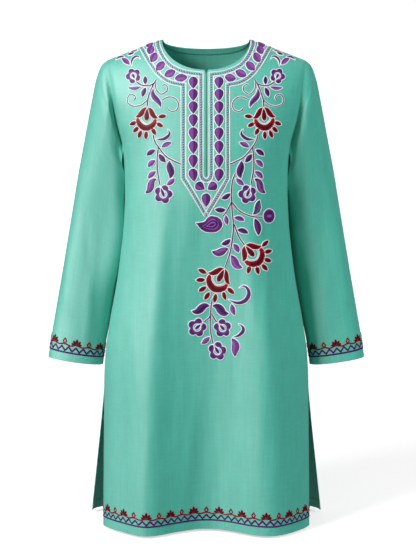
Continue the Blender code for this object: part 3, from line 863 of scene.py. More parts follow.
class Stitching:
    """Gathers raised thread shapes, drawn flat in millimetres, and lays them on a surface as one mesh."""

    def __init__(self, name, surface):
        self.name, self.surface = name, surface
        self.points, self.heights, self.faces, self.colours, self.uvs = [], [], [], [], []
        self.count = 0

    def grid(self, points, heights, colours, uvs, closed=False):
        """Adds a sheet of points, from the first to the last row and column."""
        rows, columns = heights.shape
        number = np.arange(rows * columns).reshape(rows, columns) + self.count
        if closed:
            number = np.concatenate([number, number[:1]])
        self.faces.append(grid_quads(number))
        self.points.append(points.reshape(-1, 2))
        self.heights.append(heights.ravel())
        self.colours.append(colours.reshape(-1, 3))
        self.uvs.append(uvs.reshape(-1, 2))
        self.count += rows * columns

    def build(self, material):
        points = np.concatenate(self.points) / 1000
        heights = np.concatenate(self.heights) / 1000
        faces = np.concatenate(self.faces)
        place = self.surface(*points.T, heights)
        first = faces[:, 0]
        raised = self.surface(*points[first].T, heights[first] + 0.001)
        a, b, c = (place[faces[:, i]] for i in (0, 1, 2))
        turned = (np.cross(b - a, c - b) * (raised - a)).sum(axis=1) < 0
        faces[turned] = faces[turned][:, ::-1]
        mesh = bpy.data.meshes.new(self.name)
        mesh.from_pydata(place.tolist(), [], faces.tolist())
        layer = mesh.uv_layers.new(name="ThreadMetres")
        uv = np.concatenate(self.uvs) / 1000
        layer.data.foreach_set("uv", uv[faces.ravel()].astype(np.float32).ravel())
        tint = mesh.color_attributes.new("Thread", "FLOAT_COLOR", "POINT")
        colour = np.concatenate([np.concatenate(self.colours), np.ones((self.count, 1))], axis=1)
        tint.data.foreach_set("color", colour.astype(np.float32).ravel())
        mesh.shade_smooth()
        return link(self.name, mesh, material)


def even(line, step):
    """The same line with even steps."""
    line = np.array(line, float)
    along = along_of(line)
    at = between(0, along[-1], max(2, round(along[-1] / step)))
    return np.stack([np.interp(at, along, line[:, i]) for i in (0, 1)], axis=1)


def even_loop(points, step=1.3):
    """Even steps round a closed line, without its first point again at the end."""
    return even(np.concatenate([points, points[:1]]), step)[:-1]


def curve_through(points, step=1.2):
    """A smooth line through points, with even steps in millimetres."""
    p = np.array(points, float)
    p = np.concatenate([[2 * p[0] - p[1]], p, [2 * p[-1] - p[-2]]])
    t = between(0, 1, 12)[:-1, None]
    line = []
    for a, b, c, d in zip(p, p[1:], p[2:], p[3:]):
        bend = (2 * a - 5 * b + 4 * c - d) * t**2 + (3 * b - a - 3 * c + d) * t**3
        line.append((2 * b + (c - a) * t + bend) / 2)
    return even(np.concatenate([*line, p[-2:-1]]), step)


def sideways(line, closed=False):
    if closed:
        tangent = np.roll(line, -1, axis=0) - np.roll(line, 1, axis=0)
    else:
        tangent = np.gradient(line, axis=0)
    tangent = tangent / np.maximum(np.linalg.norm(tangent, axis=1, keepdims=True), 1e-9)
    return np.stack([-tangent[:, 1], tangent[:, 0]], axis=1)


CORD_ACROSS = np.array([-1.0, -0.62, 0.0, 0.62, 1.0])


def cord(work, line, width, height, colour, base=0.25, closed=False, twist=None, taper=0.0):
    """Thread laid along a line. Twist is a second colour that winds round it, and taper thins both ends."""
    side = sideways(line, closed)
    along = along_of(line)
    half = np.full(len(line), width / 2)
    if taper:
        half = half * np.clip(np.minimum(along, along[-1] - along) / taper + 0.25, 0, 1)
    points = line[:, None] + side[:, None] * (half[:, None] * CORD_ACROSS)[..., None]
    rise = np.sqrt(np.clip(1 - CORD_ACROSS**2, 0, 1))
    heights = base + height * rise * (half / (width / 2))[:, None]
    heights[:, [0, -1]] = base * 0.2
    colours = np.broadcast_to(linear(colour), (*heights.shape, 3)).copy()
    if twist is not None:
        wind = np.sin(2 * math.pi * (along[:, None] / 4.8 + CORD_ACROSS * 0.24)) > -0.35
        colours[wind] = linear(twist)
        heights = heights + 0.15 * wind
    uvs = np.stack(np.broadcast_arrays(along[:, None], half[:, None] * CORD_ACROSS), axis=-1)
    work.grid(points, heights, colours, uvs, closed)


# Outlines of a blade: its half width down its spine, as a share of the widest


def leaf_profile(s):
    return np.sin(math.pi * np.clip(s, 0, 1)) ** 0.75


def almond_profile(s):
    return np.sin(math.pi * np.clip(s, 0, 1)) ** 0.62


def drop_profile(s):
    """Round at the start and pointed at the end."""
    peak = 0.36
    start = np.sqrt(np.clip(1 - ((peak - s) / peak) ** 2, 0, 1))
    return np.where(s < peak, start, np.clip(1 - ((s - peak) / (1 - peak)) ** 1.75, 0, 1))


def petal_profile(s):
    """Pointed at the start and round at the end."""
    return drop_profile(1 - s)


def crescent_profile(s):
    return np.clip(np.sin(math.pi * np.clip(s * 0.96 + 0.02, 0, 1)), 0, 1) ** 0.5


def hook_profile(s):
    return crescent_profile(s) * (0.45 + 0.55 * np.sin(math.pi * s))


def cup_profile(s):
    return crescent_profile(s) ** 0.7


def round_profile(s):
    return np.sqrt(np.clip(1 - (2 * s - 1) ** 2, 0, 1))


def paisley_profile(s):
    """Round at the start, with a long tail."""
    head = np.sqrt(np.clip(1 - ((0.34 - np.minimum(s, 0.34)) / 0.34) ** 2, 0, 1))
    return head * (1 - ease((s - 0.30) / 0.76)) ** 0.80


BLADE_ACROSS = np.array([-1.0, -0.86, -0.55, -0.2, 0.2, 0.55, 0.86, 1.0])


def blade(work, spine, width, rim, core, profile=leaf_profile, height=0.9, outline=1.9, base=0.35,
          core_at=0.5, mix=0.85, painted_half_shade=0.0):
    """A satin-stitch shape along a spine: domed, with a rim and a core in two colours, and a cord round it.

    The half shade lightens one side of the spine and deepens the other as painted light and painted shade,
    with a dark line between them.
    """
    start = spine[0] + unit(spine[0] - spine[1]) * outline * 0.5
    end = spine[-1] + unit(spine[-1] - spine[-2]) * outline * 0.5
    spine = np.concatenate([[start], spine[1:-1], [end]])
    spine = even(spine, max(0.9, along_of(spine)[-1] / 26))
    along = along_of(spine)
    share = along / along[-1]
    width = width + outline * 0.8
    half = (width / 2 * profile(share))[:, None]
    points = spine[:, None] + sideways(spine)[:, None] * (half * BLADE_ACROSS)[..., None]
    rise = np.sqrt(np.clip(1 - BLADE_ACROSS**2, 0, 1)) * np.clip(half / (width / 2), 0, 1) ** 0.5
    inward = np.minimum(1 - np.abs(BLADE_ACROSS), np.minimum(share, 1 - share)[:, None] * 2.6)
    blend = mix * ease((inward - core_at * 0.55) / 0.25)[..., None]
    colours = linear(rim) * (1 - blend) + linear(core) * blend
    # Painted light and painted shade: one side of the spine is lightened and the other deepened, as on satin
    # lit from one side.
    if painted_half_shade:
        middle = 1 - 0.45 * np.exp(-(((BLADE_ACROSS - 0.2) / 0.22) ** 2))
        colours = colours * ((1 - painted_half_shade * np.sign(BLADE_ACROSS)) * middle)[None, :, None]
    uvs = np.stack(np.broadcast_arrays(along[:, None], half * BLADE_ACROSS), axis=-1)
    work.grid(points, base + height * rise, colours, uvs)
    if outline:
        edge = np.concatenate([points[:, 0], points[::-1, -1][1:-1]])
        cord(work, even_loop(edge), outline, 0.75, WHITE, base=0.3, closed=True)


def bowed(start, end, bow=0.0, sway=0.0):
    """A line from start to end that bows to its left by a share of its length, and may sway like an S."""
    start, end = np.array(start, float), np.array(end, float)
    t = between(0, 1, 24)[:, None]
    along = end - start
    left = np.array([-along[1], along[0]])
    return start + along * t + left * (bow * np.sin(math.pi * t) + sway * np.sin(2 * math.pi * t))


def turned(points, centre, angle, size):
    """Points drawn with their axis down, put at a centre with the axis turned by an angle towards +across."""
    c, s = math.cos(angle), math.sin(angle)
    p = np.array(points, float) * size
    return np.stack([p[:, 0] * c - p[:, 1] * s, p[:, 0] * s + p[:, 1] * c], axis=1) + centre


def mirrored(points, side):
    return np.array(points, float) * np.array([side, 1.0])


# Parts of a hanging lotus, drawn down from its top as shares of its height
LOTUS_CUP = (
    (-0.40, -0.52), (-0.37, -0.70), (-0.22, -0.87), (0, -0.95), (0.22, -0.87), (0.37, -0.70), (0.40, -0.52)
)
LOTUS_RING = ((-0.25, -0.48), (-0.22, -0.62), (0, -0.75), (0.22, -0.62), (0.25, -0.48))
LOTUS_SHOULDER = ((0.03, -0.02), (0.15, -0.13), (0.25, -0.30), (0.37, -0.43), (0.52, -0.48))
LOTUS_BUD = ((0, -0.05), (0, -0.62))
LOTUS_HEART = np.array([0, -0.52])
LOTUS_RAY_HALF = 0.185


def lotus(work, top, foot, rays, side=1.0):
    """A hanging lotus: two shoulder petals, a bud, a cup and a fan of small petals at (angle, reach)."""
    size = np.linalg.norm(foot - top)
    angle = math.atan2(foot[0] - top[0], -(foot[1] - top[1]))

    def put(points):
        return turned(points, top, angle, size)

    def petal(line, width, height, core_at, profile=leaf_profile):
        blade(work, line, size * width, RED, MAROON, profile, height, outline=1.6, core_at=core_at)

    petal(curve_through(put(LOTUS_CUP), 1.0), 0.27, 1.0, 0.62, cup_profile)
    cord(work, curve_through(put(LOTUS_RING)), 1.6, 0.6, WHITE)
    for s in (-1, 1):
        petal(curve_through(put(mirrored(LOTUS_SHOULDER, s)), 1.0), 0.225, 1.0, 0.65)
    petal(bowed(*put(LOTUS_BUD)), 0.22, 1.1, 0.5, petal_profile)
    for degrees, reach in rays:
        a = math.radians(degrees) * side
        tip = np.array([math.sin(a), -math.cos(a)])
        ends = [LOTUS_HEART + tip * (reach + by) for by in (-LOTUS_RAY_HALF, LOTUS_RAY_HALF)]
        petal(bowed(*put(ends)), 0.185, 0.8, 0.7, almond_profile)


def flower(work, centre, entry, size):
    """A five-lobed flower with a ring, a small bud inside it, and a cleft where the stem comes in."""
    toward = math.atan2(entry[1] - centre[1], entry[0] - centre[0])
    theta = between(0, 2 * math.pi, 100)[:-1]
    lobe_turn = np.mod(theta - toward, 2 * math.pi / 5) - math.pi / 5
    reach, lobe = 0.58, 0.42
    outer = size / 2 * (reach * np.cos(lobe_turn) + np.sqrt(lobe**2 - (reach * np.sin(lobe_turn)) ** 2))
    full = np.cos(lobe_turn * 2.5)[:, None]
    ring = size / 2 * 0.40
    share = np.array([0, 0.12, 0.35, 0.65, 0.9, 1.0])
    radius = ring + (outer - ring)[:, None] * share
    direction = np.stack([np.cos(theta), np.sin(theta)], axis=1)
    points = centre + direction[:, None] * radius[..., None]
    heights = 0.35 + round_profile(share) * (0.4 + 0.6 * full)
    blend = (np.clip(full, 0, 1) * np.exp(-(((share - 0.62) / 0.22) ** 2)))[..., None] * 0.95
    colours = linear(PURPLE) * (1 - blend) + linear(VIOLET) * blend
    uvs = np.stack(np.broadcast_arrays((theta * size / 2)[:, None], radius), axis=-1)
    work.grid(points, heights, colours, uvs, closed=True)
    for hoop, width, height in ((outer[:, None], 1.9, 0.75), (ring, 1.7, 0.7)):
        cord(work, even_loop(centre + direction * hoop), width, height, WHITE, base=0.3, closed=True)
    inward = unit(centre - entry)
    aside = np.array([-inward[1], inward[0]])
    for k in (-1, 1):
        cleft = centre - inward * ring * 0.15 + aside * ring * 0.62 * k
        cord(work, even([entry, cleft], 1.2), 1.5, 0.7, WHITE, base=0.5)
    heart = bowed(entry + inward * size * 0.14, centre + inward * size * 0.13)
    blade(work, heart, size * 0.15, PURPLE, VIOLET, petal_profile, outline=1.5)


def bud(work, centre, width, tall):
    """A round bud with a paler heart."""
    ends = [np.array([(0, half), (0, -half)]) + centre for half in (tall / 2, 3.4)]
    whole, heart = (bowed(*pair) for pair in ends)
    blade(work, whole, width, PURPLE, VIOLET, round_profile, 1.3, mix=0.9)
    blade(work, heart, 10.0, LILAC, LILAC, round_profile, 0.4, outline=0, base=1.6)


# Smaller drops inside a paisley: where each starts and ends on the spine, its width, colour and height
PAISLEY_RINGS = (
    (0.12, 0.76, 0.66, LILAC, 1.45),
    (0.15, 0.72, 0.52, VIOLET, 1.6),
    (0.21, 0.64, 0.34, LILAC, 1.75),
    (0.26, 0.56, 0.17, VIOLET, 1.9),
)


def paisley(work, spine, width):
    """A curled drop, with smaller drops inside it."""
    line = curve_through(spine, 0.8)
    blade(work, line, width, PURPLE, VIOLET, paisley_profile, 1.3, core_at=0.25)
    for start, end, share, tone, base in PAISLEY_RINGS:
        inner = line[int(len(line) * start) : int(len(line) * end)]
        blade(work, inner, width * share, tone, tone, paisley_profile, 0.3, outline=0, base=base)


def front_surface(x, z, height):
    """A point on the front at x and z as seen from straight ahead, raised by a height."""
    x = x - FLORAL_SHIFT * ease((np.abs(x) - 0.034) / 0.012)
    turn, run = panel_place("front", x, np.minimum(z, shoulder_height(x) - 2e-5))
    return panel_point("front", turn, run) + panel_normal("front", turn, run) * height[..., None]


# Motifs of one chest spray, on the wearer's left, as (across, up) from the high shoulder points' middle. The
# other spray is its mirror. Leaves run from the stem end to the tip, and hooks have a width after their line.
LEAF_COLUMNS = ("x0", "z0", "x1", "z1", "width", "bow", "sway", "rim", "core")
SPRAY_LEAVES = (
    (149.5, -55, 166, -41, 8.0, 0.05, 0.0, PURPLE, LILAC),
    (117.0, -95, 117.5, -79, 7.0, 0.0, 0.0, PURPLE, VIOLET),
    (126.0, -99, 150, -100.5, 5.5, -0.1, 0.0, PURPLE, LILAC),
    (116.0, -101, 122.5, -118.5, 7.5, 0.05, 0.0, PURPLE, VIOLET),
    (101.5, -103, 87, -139.5, 9.0, 0.07, 0.07, LILAC, VIOLET),
    (154.5, -33.5, 142, -30, 4.5, 0.0, 0.0, PURPLE, VIOLET),
    (85.0, -217, 66.5, -208, 8.0, -0.05, 0.0, PURPLE, LILAC),
    (97.5, -222, 114, -232.5, 8.5, 0.05, 0.0, PURPLE, VIOLET),
    (90.0, -230, 77.5, -245, 9.0, 0.05, 0.0, PURPLE, VIOLET),
    (98.0, -242, 111, -255, 8.5, 0.08, 0.0, PURPLE, LILAC),
    (69.3, -243, 69.5, -276, 12.0, -0.05, 0.05, PURPLE, VIOLET),
    (96.5, -264, 111, -277.5, 8.5, 0.08, 0.0, PURPLE, LILAC),
    (60.0, -277, 74.5, -289.5, 8.0, -0.05, 0.0, PURPLE, LILAC),
    (95.5, -278, 117, -305, 11.5, 0.0, 0.08, VIOLET, LILAC),
)
SPRAY_HOOKS = (
    (((145.5, -57.5), (145.3, -47), (140.4, -40), (133, -38.2), (128.5, -43.5)), 3.0),
    (((178.5, -43), (171, -37.8), (161, -37.8)), 3.0),
    (((150.8, -27.5), (142, -26.2), (134, -24.5)), 2.2),
    (((97.0, -201), (84, -201.5), (74.5, -197), (69.5, -190), (73.0, -181.5)), 4.6),
)
SPRAY_STEMS = (
    ((135.5, -89), (126.5, -95), (117.5, -97.5), (106.5, -96), (99.8, -92.5), (95.5, -85)),
    ((99.9, -91.5), (107.4, -108.7), (112.4, -124.8), (113.2, -137)),
    ((101.4, -193), (99.5, -203), (91.7, -216), (74.4, -236), (46.8, -250)),
    ((91.7, -216), (94.0, -239), (93.7, -260), (90.3, -280.5), (89, -289)),
)
SPRAY_SCROLLS = (
    ((97.4, -91.5), (96, -104), (86, -114), (75, -107.8), (73.7, -100.3), (79.5, -95.6), (84.5, -98.4)),
    (
        (84.5, -125), (71, -119.5), (58.8, -122.7), (52, -133.8), (56.2, -144.8), (65, -147.3), (71, -144.8),
        (73.5, -140.5),
    ),
    (
        (113.6, -126), (125, -134.5), (139, -136.8), (150.4, -131.7), (153, -123), (148, -114.3),
        (140.5, -115), (136.6, -119.5), (140, -125.7),
    ),
)
SPRAY_LOTUSES = (
    (
        (113.0, -138.5), (116.0, -181.5),
        ((-101, 0.72), (-68, 0.65), (-33, 0.66), (-2, 0.75), (20, 0.77), (41, 0.69), (67, 0.65)),
    ),
)
SPRAY_FLOWERS = (((141.2, -77.5), (136, -88.2), 31.5), ((82.0, -308), (88.8, -290), 37.5))

# The cascade of stitched flowers on the wearer's left
CASCADE_LEAVES = (
    (48.4, -306, 30, -315.5, 8.5, 0.08, 0.0, PURPLE, VIOLET),
    (38, -338, 17.5, -337, 8.5, 0.05, 0.0, PURPLE, VIOLET),
    (39, -348.5, 43.3, -367, 8.5, -0.05, 0.0, PURPLE, LILAC),
    (56, -353.5, 75.5, -359.5, 8.0, 0.08, 0.0, LILAC, PURPLE),
    (62, -377.5, 83, -384.2, 8.5, 0.08, 0.0, PURPLE, VIOLET),
    (93, -347, 105.5, -320.5, 11.0, -0.1, -0.05, VIOLET, SLATE),
    (96, -355.5, 103.2, -387.7, 11.0, 0.08, 0.0, VIOLET, PURPLE),
    (49, -395.8, 30.2, -405, 9.0, 0.1, 0.0, PURPLE, VIOLET),
    (45, -414.4, 12.5, -419.5, 12.5, 0.12, -0.05, VIOLET, LILAC),
    (55.3, -405, 65, -421.5, 9.0, 0.05, 0.0, PURPLE, LILAC),
    (49.8, -427.5, 72, -451, 12.5, -0.12, 0.06, PURPLE, LILAC),
    (7.1, -528.7, -27.5, -538, 13.0, 0.02, -0.09, PURPLE, VIOLET),
    (12.2, -528.6, 45, -542, 14.0, -0.02, 0.09, PURPLE, VIOLET),
    (6.5, -590.8, -8.7, -603.6, 8.5, 0.05, 0.0, PURPLE, LILAC),
    (51.7, -524, 57.4, -545.4, 8.5, -0.03, 0.0, PURPLE, LILAC),
    (51.9, -592.7, 58.8, -627.4, 13.0, 0.12, 0.05, PURPLE, LILAC),
)
CASCADE_HOOKS = (
    (
        (
            (44.2, -514), (56, -520), (68.5, -521), (80.5, -514.3), (85.5, -502), (81.5, -491), (73.5, -488),
            (66, -492.8),
        ),
        6.0,
    ),
    (((54.4, -590), (66.2, -585.6), (74.6, -576.3), (72.6, -567.5), (65, -562.8)), 5.0),
)
CASCADE_STEMS = (
    (
        (58.5, -266), (52.3, -283.4), (50.3, -305.7), (50.7, -320.6), (52.2, -343), (54.4, -365),
        (53.8, -384.8), (52, -401), (47.1, -426.3), (37.2, -451),
    ),
    ((50.4, -323.5), (41.8, -340), (31.5, -351.5)),
    ((52.2, -323.6), (62.7, -337), (76.2, -346), (92.8, -351.5), (112, -353.4)),
    ((55.7, -366), (60, -377.3), (66.9, -393.5), (76.3, -407)),
    ((11.8, -513), (9.6, -528.6), (8.4, -549), (7.8, -572.2), (10.9, -592.7), (13.5, -603.5)),
    ((9, -546.5), (4.6, -553), (-4.9, -561)),
    ((10.9, -544), (16, -554), (21.5, -561)),
)
CASCADE_LOTUSES = (
    ((77, -407), (106.5, -443), ((90, 0.69), (59, 0.66), (28, 0.69), (3, 0.76), (-22, 0.70), (-53, 0.65))),
    (
        (36.5, -453), (14.5, -496),
        ((-89, 0.75), (-61, 0.75), (-32, 0.78), (-8, 0.84), (16, 0.79), (46, 0.71), (75, 0.69)),
    ),
)
CASCADE_FLOWERS = (
    ((-18.0, -571.5), (-6, -561), 38.5),
    ((33.0, -572.5), (22.6, -561), 38.0),
    ((22.3, -619), (14, -604), 38.5),
)
CASCADE_PAISLEY = ((28, -357), (21, -362.5), (11, -367), (-3, -370), (-20.5, -364))
CASCADE_BUD = ((124.9, -351.5), 22.5, 26.5)

# The two stitched bands of the neck and placket, as their middle lines on the wearer's left
INNER_BAND = (
    (95.5, -3.0), (92.8, -19), (83.0, -40.5), (70.0, -56.3), (54.5, -65.8), (38.0, -71.6), (24.0, -74.2),
    (10.0, -75.6),
)
INNER_PLACKET = ((10.0, -75.6), (10.0, -268.0))
INNER_FOOT = ((10.0, -268.0), (8.4, -275.0), (4.6, -279.6), (0, -281.2))
OUTER_BAND = (
    (130.5, -15.5), (124.5, -24.0), (117.0, -37.5), (106.5, -55.0), (94.0, -71.5), (81.0, -83.4),
    (65.5, -91.5), (43.0, -96.0),
)
OUTER_PLACKET = ((43.0, -96.0), (43.0, -277.0))
OUTER_FOOT = ((43.0, -277.0), (0.0, -349.0))
BAND_HALF = 4.1
BAND_STEP = 1.1

# Drops between the bands, on the wearer's left: across, up, length, and the angle of the pointed end. The
# first six are almonds on the curve.
DROP_PLACES = (
    (111.6, -12.5, 17.0, 115), (108.0, -25.5, 20.0, 106), (101.2, -41.5, 23.0, 118),
    (87.8, -59.0, 24.5, 134), (69.0, -73.8, 24.5, 154), (47.8, -82.6, 24.0, 172),
    (25.0, -92.5, 24.5, -90), (25.0, -116.0, 24.5, -90), (25.0, -140.3, 25.5, -90),
    (25.0, -165.6, 26.0, -90), (25.0, -191.2, 26.3, -90), (25.0, -217.3, 26.8, -90),
    (25.0, -244.0, 27.0, -90), (24.8, -271.0, 27.0, -98), (11.4, -293.0, 21.5, -148),
)
CURVE_DROPS = 6
FOOT_DROP = (0.0, -319.5, 28.0, -90)
DROP_WIDTH = 17.5
ALMOND_WIDTH = 15.2
LEAF_FULL = 1.14
LEAF_TIP = 0.03
HOOK_FULL = 1.3
STEM_WIDTH = 2.7
SCROLL_WIDTH = 2.0
PAISLEY_WIDTH = 33.0


def leaves(work, rows, side=1.0):
    for leaf in rows_of(LEAF_COLUMNS, rows):
        start, end = mirrored([(leaf["x0"], leaf["z0"]), (leaf["x1"], leaf["z1"])], side)
        line = bowed(start, end + (end - start) * LEAF_TIP, leaf["bow"] * side, leaf["sway"] * side)
        # Each leaf gets painted light on one side of its spine and painted shade on the other.
        blade(work, line, leaf["width"] * LEAF_FULL, leaf["rim"], leaf["core"], mix=0.75, painted_half_shade=0.20)


def stem(work, points, side=1.0, width=STEM_WIDTH):
    line = curve_through(mirrored(points, side))
    cord(work, line, width + 2.1, 0.35, WHITE, base=0.2, taper=2.0)
    cord(work, line, width, 0.7, MAUVE, base=0.45, twist=VIOLET, taper=2.0)


def hook(work, points, width, side=1.0):
    line = curve_through(mirrored(points, side), 1.0)
    blade(work, line, width * HOOK_FULL, LILAC, VIOLET, hook_profile, outline=1.8, mix=0.9, core_at=0.4)


def motifs(work, stems, hooks, leaf_rows, lotuses, flowers, side=1.0):
    for points in stems:
        stem(work, points, side)
    for points, width in hooks:
        hook(work, points, width, side)
    leaves(work, leaf_rows, side)
    for top, foot, rays in lotuses:
        lotus(work, *mirrored([top, foot], side), rays, side)
    for centre, entry, size in flowers:
        flower(work, *mirrored([centre, entry], side), size)


def sprays(work):
    for side in (1.0, -1.0):
        for points in SPRAY_SCROLLS:
            stem(work, points, side, SCROLL_WIDTH)
        motifs(work, SPRAY_STEMS, SPRAY_HOOKS, SPRAY_LEAVES, SPRAY_LOTUSES, SPRAY_FLOWERS, side)


def cascade(work):
    motifs(work, CASCADE_STEMS, CASCADE_HOOKS, CASCADE_LEAVES, CASCADE_LOTUSES, CASCADE_FLOWERS)
    paisley(work, CASCADE_PAISLEY, PAISLEY_WIDTH)
    bud(work, *CASCADE_BUD)


def band(work, parts, side):
    """A twisted purple braid between two white cords, along joined stretches of line."""
    lines = []
    for part in parts:
        line = mirrored(part, side)
        lines.append(curve_through(line, BAND_STEP) if len(part) > 2 else even(line, BAND_STEP))
    for by in (-BAND_HALF, BAND_HALF):
        cord(work, trim_joins([line + sideways(line) * by for line in lines]), 2.2, 0.9, WHITE, base=0.3)
    cord(work, trim_joins(lines), 2.9, 0.8, BRAID, base=0.25, twist=PURPLE)


def trim_joins(lines):
    """One line from several offset ones: each pair is cut back or carried on to where they cross."""
    whole = lines[0]
    for line in lines[1:]:
        a, da = whole[-1], whole[-1] - whole[-2]
        b, db = line[0], line[1] - line[0]
        det = da[0] * db[1] - da[1] * db[0]
        if abs(det) > 1e-3 * np.linalg.norm(da) * np.linalg.norm(db):
            gap = b - a
            s = (gap[0] * db[1] - gap[1] * db[0]) / det
            cross = a + da * s
            keep_a = ((whole - cross) @ da) < 0
            keep_b = ((line - cross) @ db) > 0
            whole = np.concatenate([whole[keep_a], [cross], line[keep_b]])
        else:
            whole = np.concatenate([whole, line[1:]])
    return even(whole, BAND_STEP)


def neck_work(work):
    for side in (1.0, -1.0):
        band(work, (INNER_BAND, INNER_PLACKET, INNER_FOOT), side)
        band(work, (OUTER_BAND, OUTER_PLACKET, OUTER_FOOT), side)
        for k, (x, z, length, angle) in enumerate(DROP_PLACES):
            yoke_drop(work, x * side, z, length, angle if side > 0 else 180 - angle, k < CURVE_DROPS)
    yoke_drop(work, *FOOT_DROP, False)


def yoke_drop(work, x, z, length, angle, almond):
    a = math.radians(angle)
    reach = np.array([math.cos(a), math.sin(a)]) * (length - 1.6) / 2
    line = bowed((x, z) - reach, (x, z) + reach)
    # Almonds and drops get painted light on one side of the spine and painted shade on the other.
    if almond:
        form = (ALMOND_WIDTH, PURPLE, LILAC, almond_profile)
        blade(work, line, *form, height=1.3, core_at=0.55, mix=0.9, painted_half_shade=0.12)
    else:
        form = (DROP_WIDTH, VIOLET, DROP_HEART, drop_profile)
        blade(work, line, *form, height=1.3, core_at=0.22, mix=1.0, painted_half_shade=0.30)


# Borders, drawn as (along the edge, up from it)
BORDER_REPEAT = 50.0
BORDER_TOOTH = 15.4
BORDER_PETALS = ((-72, 11.6, 4.8), (-38, 12.8, 5.2), (72, 11.6, 4.8), (38, 12.8, 5.2), (0, 14.2, 5.8))
HEM_BORDER_UP = 19.0
CUFF_BORDER_UP = 16.5
BORDER_INSET = 5
HEM_STITCH_UP = 18.5
HEM_STITCH_INSET = 6
STITCH = 3.0
STITCH_GAP = 0.9
HEM_MEASURE = 0.03


def border(work, start, end, edge, closed=False):
    """A straight line, a zigzag, and a wavy vine with small lotuses and hollow buds between them."""
    span = end - start
    count = max(1, round(span / BORDER_REPEAT))
    unit = span / count
    cord(work, even([(start, edge), (end, edge)], 1.4), 3.2, 0.8, INDIGO, base=0.2)
    teeth = round(span / BORDER_TOOTH)
    corner = np.arange(2 * teeth + 1)
    zigzag = np.stack([start + span * corner / (2 * teeth), edge + np.where(corner % 2, 3.0, 11.2)], axis=1)
    cord(work, even(zigzag, 1.0), 3.3, 0.8, INDIGO, base=0.2)
    s = between(start, end, round(span / 1.2))
    wave = edge + 14.6 + 1.3 * np.cos(4 * math.pi * (s - start) / unit)
    cord(work, np.stack([s, wave], axis=1), 3.0, 0.8, CRIMSON, base=0.2)
    base = edge + 15.0
    for k in range(count):
        middle = np.array([start + unit * (k + 0.5), base])
        for lean, length, width in BORDER_PETALS:
            a = math.radians(90 - lean)
            ray = np.array([math.cos(a), math.sin(a)])
            line = bowed(middle + ray * 2.4, middle + ray * length)
            blade(work, line, width, CRIMSON, MAROON, almond_profile, 0.8, outline=0, base=0.25)
    for place in [start + unit * k for k in range(count)] + [end] * (not closed):
        ring = [(place, base), (place + 3.6, base + 6.0), (place, base + 11.6), (place - 3.6, base + 6.0)]
        cord(work, even_loop(ring, 1.0), 2.8, 0.8, CRIMSON, base=0.25, closed=True)


def stitch_line(work, start, end, up, colour):
    """Running stitches along an edge."""
    repeat = STITCH + STITCH_GAP
    for k in range(int((end - start) / repeat)):
        s = start + k * repeat
        cord(work, even([(s, up), (s + STITCH, up)], 1.0), 0.9, 0.35, colour, base=0.1)


def hem_surface(panel):
    """A panel near its hem, as a function of (across, up) from its centre and hem, and its half width."""
    turns = between(-1, 1, 400)
    edge = flat_place(panel, turns, np.full_like(turns, -LENGTH + HEM_MEASURE))[:, 0]

    def surface(across, up, height):
        run = -LENGTH + up
        turn = np.interp(across, edge, turns)
        return panel_point(panel, turn, run) + panel_normal(panel, turn, run) * height[..., None]

    return surface, edge[-1] * 1000


CLOTH_TEAL = cloth_material("cloth_teal", TEAL)
# The neck facing's teal is lightened by 5 % as painted light, since the inside of the back neck lies in
# shade.
CLOTH_FACING_PAINTED_LIGHT = cloth_material("cloth_facing_painted_light", TEAL, 1.05)
THREAD = thread_material("embroidery_thread")

front = make_front(CLOTH_TEAL)
back = make_back(CLOTH_TEAL)
facing = make_facing(CLOTH_FACING_PAINTED_LIGHT)
sleeve_maps = {"left": SleeveMap(1.0), "right": SleeveMap(-1.0)}
sleeves = {side: make_sleeve("cloth_sleeve_" + side, sleeve_maps[side], CLOTH_TEAL) for side in sleeve_maps}

sewn = {"front": [], "left": [], "right": [], "back": []}


def sew(cloth, name, surface, draw, *form, **look):
    """Draws one piece of stitched work and lays it on its cloth."""
    work = Stitching(name, surface)
    draw(work, *form, **look)
    sewn[cloth].append(work.build(THREAD))


sew("front", "neck_yoke", front_surface, neck_work)
sew("front", "flower_cascade", front_surface, cascade)
sew("front", "chest_sprays", front_surface, sprays)
hem, half = hem_surface("front")
sew("front", "hem_border", hem, border, -half + BORDER_INSET, half - BORDER_INSET, HEM_BORDER_UP)
for side, sleeve in sleeve_maps.items():
    cuff_round = sleeve.cuff_round * 1000
    sew(side, "cuff_border_" + side, sleeve, border, 0.0, cuff_round, CUFF_BORDER_UP, closed=True)
hem, half = hem_surface("back")
half = half - HEM_STITCH_INSET
sew("back", "back_hem_stitches", hem, stitch_line, -half, half, HEM_STITCH_UP, HEM_STITCH)

cloths = {"front": front, "back": back, "neck_facing_back": facing}
cloths.update({"sleeve_" + side: sleeve for side, sleeve in sleeves.items()})
for cad, piece in cloths.items():
    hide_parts(cad)
    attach(piece, "root")
for pieces in sewn.values():
    for piece in pieces:
        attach(piece, "root")

# Floor, light and camera. The cloth's gloss comes from a wider lamp of its own beside the key.
FLOOR_Z = -LENGTH - 0.006
FLOOR_REACH = 6.0
WALL_START = 1.6
WALL_CURVE = 1.2
LIGHTS_AIM = (0, 0, -0.45)
LIGHT_COLUMNS = ("name", "azimuth", "elevation", "distance", "size", "power", "diffuse", "glossy")
LIGHT_ROWS = (
    ("key", -50, 28, 4.6, 1.66, 180, True, False),
    ("key_gloss", -52, 28, 4.6, 2.05, 600, False, True),
    ("fill", 66, 16, 3.6, 1.6, 58, True, False),
)
WORLD_STRENGTH = 0.214
EYE = (0.0035, -2.6, -0.222)
EYE_PITCH = 5.71
FOCAL_PIXELS = 1275.5
PHOTO_HEIGHT = 555
SENSOR = 36


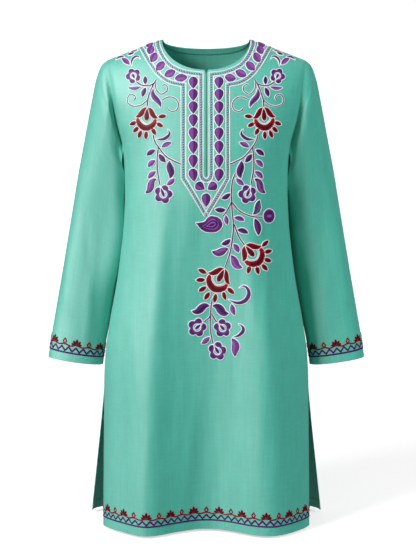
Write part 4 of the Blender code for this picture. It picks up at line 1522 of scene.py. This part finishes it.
def floor():
    """A pale floor that curves up into a wall behind the garment."""
    mesh = bpy.data.meshes.new("floor")
    profile = [(-FLOOR_REACH, 0.0), (WALL_START, 0.0)]
    for a in between(0.1, math.pi / 2, 12):
        profile.append((WALL_START + WALL_CURVE * math.sin(a), WALL_CURVE - WALL_CURVE * math.cos(a)))
    profile.append((WALL_START + WALL_CURVE, FLOOR_REACH))
    verts = [(x, y, FLOOR_Z + z) for y, z in profile for x in (-FLOOR_REACH, FLOOR_REACH)]
    faces = [(2 * i, 2 * i + 1, 2 * i + 3, 2 * i + 2) for i in range(len(profile) - 1)]
    mesh.from_pydata(verts, [], faces)
    mesh.shade_smooth()
    material, _, shader = new_material("floor_white", 0.9, 0.0)
    shader.inputs["Base Color"].default_value = (0.90, 0.90, 0.90, 1)
    shader.inputs["Emission Color"].default_value = (1, 1, 1, 1)
    shader.inputs["Emission Strength"].default_value = 0.58
    piece = link("floor", mesh, material)
    piece.visible_diffuse = False
    piece.visible_glossy = False


def area_light(name, azimuth, elevation, distance, size, power, diffuse, glossy):
    light = bpy.data.lights.new(name, "AREA")
    light.size = size
    light.energy = power
    a, e = math.radians(azimuth), math.radians(elevation)
    away = Vector((math.sin(a) * math.cos(e), -math.cos(a) * math.cos(e), math.sin(e)))
    lamp = bpy.data.objects.new(name, light)
    lamp.location = Vector(LIGHTS_AIM) + away * distance
    lamp.rotation_euler = away.to_track_quat("Z", "Y").to_euler()
    lamp.visible_diffuse = diffuse
    lamp.visible_glossy = glossy
    bpy.context.scene.collection.objects.link(lamp)


floor()
for light in rows_of(LIGHT_COLUMNS, LIGHT_ROWS):
    area_light(**light)

world = bpy.data.worlds.new("studio")
bpy.context.scene.world = world
world.use_nodes = True
background = world.node_tree.nodes["Background"]
background.inputs["Color"].default_value = (1, 1, 1, 1)
background.inputs["Strength"].default_value = WORLD_STRENGTH
world.cycles_visibility.glossy = False

camera = bpy.data.cameras.new("camera")
camera.sensor_width = SENSOR
camera.lens = FOCAL_PIXELS * SENSOR / PHOTO_HEIGHT
eye = bpy.data.objects.new("camera", camera)
eye.location = EYE
eye.rotation_euler = (math.pi / 2 - math.radians(EYE_PITCH), 0, 0)
bpy.context.scene.collection.objects.link(eye)
bpy.context.scene.camera = eye
bpy.context.scene.view_settings.view_transform = "Standard"
